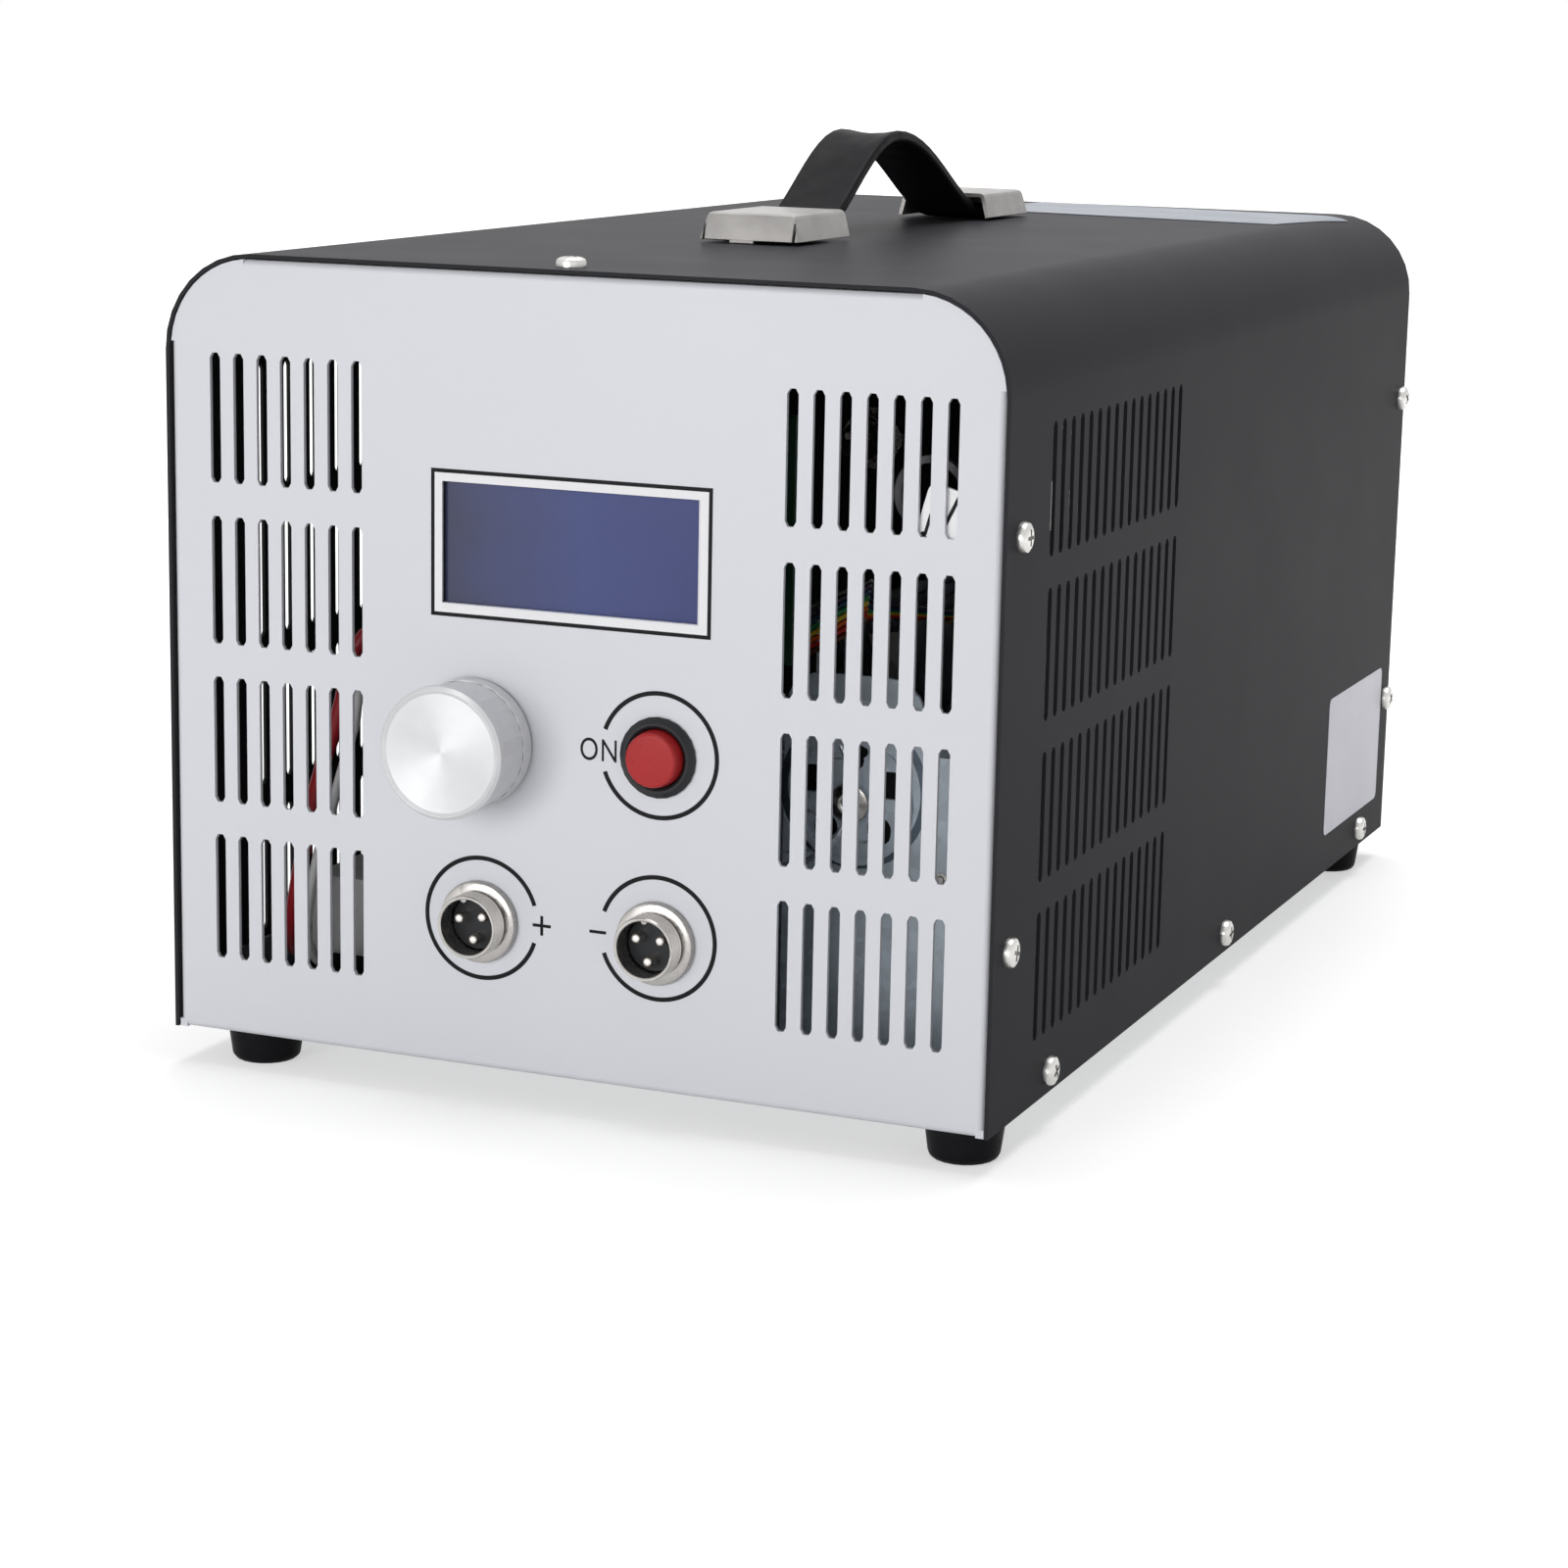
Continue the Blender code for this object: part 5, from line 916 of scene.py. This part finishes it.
softCopy("fuse_drawer", "fuseDrawer", greyPlastic, 0.4)
softCopy("exhaust_fan_rotor", "exhaustRotor", blackPlastic, 0.3)
softCopy("exhaust_fan_frame", "exhaustFrame", blackPlastic, 0.4)
softCopy("relay_module", "relayBox", greyPlastic, 0.4)
print("edges rounded")

trimMotorPlate(motorTrim)
print("motor plate trimmed")


# Round three-pin sockets: nickel shell with a rolled thread, black insert, domed pins
sockets = {
    "seat": 0.3,
    "bore": 7.2,
    "thread": 8.2,
    "root": 7.65,
    "pitch": 1.0,
    "flange": 10.6,
    "flangeThick": 2.2,
    "reach": 8.1,
    "back": 13.0,
    "keyRadius": 0.85,
    "keyRound": 0.15,
    "insertFace": 1.6,
    "insertBack": 14.5,
    "pinRadius": 1.3,
    "pinCircle": 3.8,
    "pinReach": 5.7,
    "pinBack": 18.0,
}


def shellProfile(values):
    bore, thread, root, flange = (values[key] for key in ("bore", "thread", "root", "flange"))
    seat, thick, back = (values[key] for key in ("seat", "flangeThick", "back"))
    pitch, reach = values["pitch"], values["reach"]
    profile = [(bore, -back), (thread - 0.3, -back), (thread, -back + 0.4), (thread, seat)]
    profile += [(flange - 0.15, seat), (flange, seat + 0.15), (flange, thick - 0.75)]
    profile += [(flange - 0.25, thick - 0.25), (flange - 0.7, thick), (root + 0.1, thick)]
    depth = thick + 0.35
    while depth + pitch < reach - 0.45:
        for radius, share in ((root, 0.0), (thread, 0.38), (thread, 0.56), (root, 0.94)):
            profile.append((radius, depth + pitch * share))
        depth += pitch
    profile += [(thread - 0.1, depth + 0.2), (thread - 0.1, reach - 0.3), (thread - 0.3, reach)]
    return profile + [(bore + 0.25, reach), (bore, reach - 0.2), (bore, -back)]


def pinProfile(values):
    tip, wide, back = values["pinReach"], values["pinRadius"], values["pinBack"]
    profile = [(0, -back), (wide, -back), (wide, tip - 0.9), (wide * 0.92, tip - 0.5)]
    return profile + [(wide * 0.7, tip - 0.18), (wide * 0.38, tip - 0.03), (0, tip)]


def panelSocket(node, prefix, facing, turned, values):
    # facing is -1 on the front panel and 1 on the rear; turned is in degrees
    centre = middleOf(node + "_shell")
    centre.y = panelFace if facing < 0 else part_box(node + "_shell")[1].y - values["reach"] * mm
    shell = turnedShape(shellProfile(values), centre, facing, 64)
    keyLength = (values["reach"] - values["insertFace"] - 0.8) * mm
    keySpot = around(centre, 90 + turned, values["bore"] - 0.05)
    keySpot.y += facing * (values["insertFace"] * mm + keyLength / 2 + 0.3 * mm)
    deselectAll()
    bpy.ops.mesh.primitive_cylinder_add(vertices=20, radius=values["keyRadius"] * mm, depth=keyLength,
                                        location=keySpot, rotation=facingFront)
    bevelAll(values["keyRound"])
    selectOnly(shell, bpy.context.object)
    bpy.ops.object.join()
    finishPiece(prefix + "Shell", nickel, "case", 30, (node + "_shell",))
    radius, face, back = values["bore"] - 0.1, values["insertFace"], values["insertBack"]
    plug = [(0, -back), (radius, -back), (radius, face - 0.3), (radius - 0.3, face), (0, face)]
    turnedShape(plug, centre, facing)
    finishPiece(prefix + "Insert", blackPlastic, "case", 30, (node + "_insert",))
    for number, base in enumerate((30, 150, 270)):
        turnedShape(pinProfile(values), around(centre, base + turned, values["pinCircle"]), facing, 20)
        finishPiece(prefix + "Pin" + str(number + 1), pinMetal, "case", 50)


panelSocket("positive_socket", "plusSocket", -1, 8, sockets)
panelSocket("negative_socket", "minusSocket", -1, 0, sockets)
panelSocket("data_socket", "dataSocket", 1, 0, sockets)
print("sockets turned")


# Wires and ribbon behind the slots; their routes are listed points
ribbon = {
    "route": [(36, 34.2, 154), (36, 43.2, 154), (32, 60, 150), (29, 72, 134), (28, 72, 117),
              (32.5, 62, 107.6), (40.6, 57, 109.6), (48.2, 56, 114), (54, 62, 118), (49, 77, 115.5),
              (39, 99, 109), (42, 118, 106.5), (63, 132, 104.85)],
    "pitch": 1.46,
    "radius": 0.62,
    "upright": (0.1, 0, 0.99),      # the way its width points until it turns flat
    "flat": (1, 0, 0),
    "flatFrom": 0.7,                # share of the route
    "colours": [(0.16, 0.045, 0.016), (0.75, 0.02, 0.016), (0.95, 0.17, 0.02), (0.95, 0.66, 0.05),
                (0.03, 0.30, 0.09), (0.012, 0.07, 0.13), (0.04, 0.02, 0.06), (0.05, 0.05, 0.055)],
}

leads = {
    "red": {"route": [(-40, 37.6, 115), (-40, 42.6, 115), (-54, 40, 114), (-72, 27, 103.8), (-79.1, 25, 81.3),
                      (-86, 25, 60.5), (-91.6, 23.8, 31.4), (-97, 32, 17), (-98, 42, 12), (-91, 42, 12)],
            "radius": 2.1},
    "grey": {"route": [(-30, 37.6, 115), (-30, 42.6, 115), (-46, 36, 110), (-66.9, 22, 97), (-72.5, 22, 79.6),
                       (-76.9, 22, 66.1), (-79.6, 22, 56.3), (-83.1, 21, 44.8), (-85.9, 20, 26.3),
                       (-86, 23.5, 17), (-84, 26.3, 14)],
             "radius": 1.3},
}

relayLowBand = {"tall": 14.6, "inset": 0.5, "corner": 0.4, "thick": 0.15, "gap": 0.05}


def smoothRoute(points, steps=5):
    # a smooth curve through every point
    spots = [place(*point) for point in points]
    ends = [2 * spots[0] - spots[1], *spots, 2 * spots[-1] - spots[-2]]
    route = []
    for before, start, end, after in zip(ends, ends[1:], ends[2:], ends[3:]):
        for step in range(steps):
            t = step / steps
            square = (2 * before - 5 * start + 4 * end - after) * t * t
            cubic = (3 * start - before - 3 * end + after) * t ** 3
            route.append(0.5 * (2 * start + (end - before) * t + square + cubic))
    return route + [spots[-1]]


def cordAlong(spots, radius, roundness):
    curve = bpy.data.curves.new("cord", "CURVE")
    curve.dimensions = "3D"
    curve.bevel_depth = radius * mm
    curve.bevel_resolution = roundness
    curve.use_fill_caps = True
    spline = curve.splines.new("POLY")
    spline.points.add(len(spots) - 1)
    for point, spot in zip(spline.points, spots):
        point.co = (*spot, 1)
    cord = bpy.data.objects.new("cord", curve)
    bpy.context.scene.collection.objects.link(cord)
    return cord


def rainbowRibbon(values):
    route = smoothRoute(values["route"])
    upright, lying = Vector(values["upright"]), Vector(values["flat"])
    sides = []
    for index, spot in enumerate(route):
        along = (route[min(index + 1, len(route) - 1)] - route[max(index - 1, 0)]).normalized()
        share = max(0, (index / (len(route) - 1) - values["flatFrom"]) / (1 - values["flatFrom"]))
        side = lying * share + upright * (1 - share)
        sides.append((side - along * side.dot(along)).normalized())
    strands = []
    for number, colour in enumerate(values["colours"]):
        offset = (number - (len(values["colours"]) - 1) / 2) * values["pitch"] * mm
        strand = cordAlong([spot + side * offset for spot, side in zip(route, sides)], values["radius"], 3)
        strand.data.materials.append(insulationFinish("ribbonStrand" + str(number + 1), colour, 0.9))
        strands.append(strand)
    selectOnly(*strands)
    bpy.ops.object.convert(target="MESH")
    bpy.ops.object.join()
    finishPiece("rainbowRibbon", None, "case", 50, ("ribbon_cable",))


def batteryLead(name, node, material, values):
    selectOnly(cordAlong(smoothRoute(values["route"]), values["radius"], 4))
    bpy.ops.object.convert(target="MESH")
    finishPiece(name, material, "case", 50, (node,))


def darkLowBand(values):
    # a thin black sheet over the low part of the grey module's front
    low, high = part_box("relay_module")
    spot = Vector(((low.x + high.x) / 2, low.y - values["gap"] * mm, low.z + values["tall"] / 2 * mm))
    thinPlate("relayLowBand", inkBlack, (high.x - low.x) / mm - 2 * values["inset"], values["tall"],
              values["corner"], values["thick"], spot, facingFront)


rainbowRibbon(ribbon)
darkLowBand(relayLowBand)
batteryLead("redLead", "battery_wire_red", redInsulation, leads["red"])
batteryLead("greyLead", "battery_wire_grey", greyInsulation, leads["grey"])
print("wires routed")


# White nylon cable clip stuck behind the panel between the upper slot rows
clip = {
    "middle": (97.5, 150.1),
    "wide": 11.5,
    "tall": 14.0,
    "turn": 16,
    "corner": 2.2,
    "thick": 1.0,
    "front": 1.55,
    "slits": [(93.5, 148.2, 0.8, 5.5, 16), (99.5, 151.7, 0.9, 8.5, 26),      # x, z, wide, tall, turn
              (92.0, 145.4, 1.9, 1.5, -30)],
    "slitCorner": 0.35,
    "slitThick": 0.1,
    "loop": {"middle": (91.3, 9.0, 154.1), "outer": 9.4, "inner": 7.6, "deep": 2.5},
}

whiteNylon = mouldedFinish("whiteNylon", (0.82, 0.82, 0.83), 0.35, 0.8, 0.004, 0.4, 12, 0.02)
smokyNylon = mouldedFinish("smokyNylon", (0.065, 0.063, 0.072), 0.4, 0.8, 0.004, 0.3, 12, 0.1)


def cableClip(values):
    x, z = values["middle"]
    facing = (math.pi / 2, math.radians(values["turn"]), 0)
    thinPlate("clipBase", whiteNylon, values["wide"], values["tall"], values["corner"], values["thick"],
              place(x, values["front"] + values["thick"], z), facing)
    # thin black sheets on the clip's face where its slits are: painted shade in the openings
    for number, (x, z, wide, tall, turn) in enumerate(values["slits"]):
        facing = (math.pi / 2, math.radians(turn), 0)
        thinPlate("clipSlitShade" + str(number + 1), inkBlack, wide, tall, values["slitCorner"],
                  values["slitThick"], place(x, values["front"], z), facing)
    loop = values["loop"]
    outer, inner, deep = loop["outer"], loop["inner"], loop["deep"]
    profile = [(inner, 0), (outer, 0), (outer, deep), (inner, deep), (inner, 0)]
    turnedShape(profile, place(*loop["middle"]), 1, 56)
    finishPiece("clipLoop", smokyNylon, "case", 30)


cableClip(clip)
print("clip placed")


# Wire guard over the rear fan, its screws and the hub's bare disc
guard = {
    "wire": 1.1,
    "hub": 12.0,
    "hubThick": 1.4,
    "hubRound": 0.4,
    "rings": (21.2, 30.3, 39.5, 48.6, 57.4),
    "arms": (45, 135, 225, 315),
    "armEnd": 69.2,
    "armOverlap": 2,
    "eyelet": 4.0,
    "screwCircle": 74.2,
    "twist": 29,
    "disc": 16.5,
}


def wireLoop(spot, radius, wire, segments):
    deselectAll()
    bpy.ops.mesh.primitive_torus_add(major_radius=radius * mm, minor_radius=wire * mm,
                                     major_segments=segments, minor_segments=10,
                                     location=spot, rotation=facingFront)
    return bpy.context.object


def wireGuard(values, axis):
    deselectAll()
    bpy.ops.mesh.primitive_cylinder_add(vertices=48, radius=values["hub"] * mm, depth=values["hubThick"] * mm,
                                        location=axis, rotation=facingFront)
    bevelAll(values["hubRound"])
    pieces = [bpy.context.object]
    wire = values["wire"]
    for radius in values["rings"]:
        pieces.append(wireLoop(axis, radius, wire, 96))
    inner, outer = values["hub"] - values["armOverlap"], values["armEnd"] + values["armOverlap"]
    for angle in values["arms"]:
        deselectAll()
        bpy.ops.mesh.primitive_cylinder_add(vertices=12, radius=wire * mm, depth=(outer - inner) * mm,
                                            location=around(axis, angle, (inner + outer) / 2),
                                            rotation=(0, math.pi / 2 - math.radians(angle), 0))
        pieces.append(bpy.context.object)
        pieces.append(wireLoop(around(axis, angle, values["screwCircle"]), values["eyelet"], wire, 32))
    selectOnly(*pieces)
    bpy.ops.object.join()
    finishPiece("wireGuard", nickel, "case", 50, ("fan_guard",))


def fanTrim(values, axis):
    head = screwHead(screws)
    facing = Matrix.Rotation(-math.pi / 2, 4, "X")
    for number, angle in enumerate(values["arms"]):
        spot = around(axis, angle, values["screwCircle"])
        setScrew("fanScrew" + str(number + 1), head, spot, facing, number * values["twist"])
    bpy.data.objects.remove(head)
    hub = Vector((axis.x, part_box("exhaust_fan_rotor")[1].y, axis.z))
    radius = values["disc"]
    turnedShape([(0, 0.14), (radius - 0.1, 0.14), (radius, 0.04), (radius, 0.02), (0, 0.02)], hub, 1, 56)
    finishPiece("hubDisc", labelFoil, "exhaust_fan_rotor", 30)


wireGuard(guard, middleOf("fan_guard"))
fanTrim(guard, middleOf("fan_guard"))
print("rear dressed")


# Floor, lights and backdrop
studio = {
    "world": 0.36,
    "floor": {"colour": 0.62, "glow": 0.52, "near": 0.25, "far": 0.9},      # its glow reaches 1 at far
    "aim": (0, 0, 0.1),
    "key": {"spot": (-0.4, -2.35, 0.24), "size": 1.5, "power": 34},
    "fill": {"spot": (1.7, -1.9, 0.5), "size": 1.4, "power": 1.5},
    "top": {"spot": (0.0, 0.3, 1.9), "size": 1.5, "power": 30},
}


def seenRays(tree):
    # 1 for what the camera sees, also in metal and through glass, and 0 for light on the object
    path = addNode(tree, "ShaderNodeLightPath")
    seen = combine(tree, "MAXIMUM", path.outputs["Is Camera Ray"], path.outputs["Is Glossy Ray"])
    return combine(tree, "MAXIMUM", seen, path.outputs["Is Transmission Ray"])


def makeFloor(values):
    deselectAll()
    bpy.ops.mesh.primitive_plane_add(size=40, location=(0, 0, 0))
    floor = bpy.context.object
    floor.name = "floor"
    material, tree, shader = newMaterial("paleFloor", (values["colour"],) * 3, 0.7)
    shader.inputs["Specular IOR Level"].default_value = 0.1
    ground = addNode(tree, "ShaderNodeTexCoord")
    away = addNode(tree, "ShaderNodeVectorMath", operation="LENGTH")
    tree.links.new(ground.outputs["Object"], away.inputs[0])
    level = spread(tree, away.outputs["Value"], values["glow"], 1.0, values["near"], values["far"])
    shader.inputs["Emission Color"].default_value = (1, 1, 1, 1)
    tree.links.new(combine(tree, "MULTIPLY", seenRays(tree), level), shader.inputs["Emission Strength"])
    floor.data.materials.append(material)


def makeWorld(strength):
    world = bpy.data.worlds.new("softStudio")
    bpy.context.scene.world = world
    world.use_nodes = True
    tree = world.node_tree
    back = tree.nodes["Background"]
    back.inputs["Color"].default_value = (1, 1, 1, 1)
    tree.links.new(spread(tree, seenRays(tree), strength, 1.0, 0, 1), back.inputs["Strength"])


def makeLamp(name, values):
    data = bpy.data.lights.new(name, "AREA")
    data.energy = values["power"]
    data.shape = "DISK"
    data.size = values["size"]
    lamp = bpy.data.objects.new(name, data)
    bpy.context.scene.collection.objects.link(lamp)
    lamp.location = values["spot"]
    aim = Vector(studio["aim"]) - Vector(values["spot"])
    lamp.rotation_euler = aim.to_track_quat("-Z", "Y").to_euler()


makeFloor(studio["floor"])
makeWorld(studio["world"])
for lampName in ("key", "fill", "top"):
    makeLamp(lampName + "Lamp", studio[lampName])
bpy.context.scene.view_settings.view_transform = "Standard"
print("studio lit")
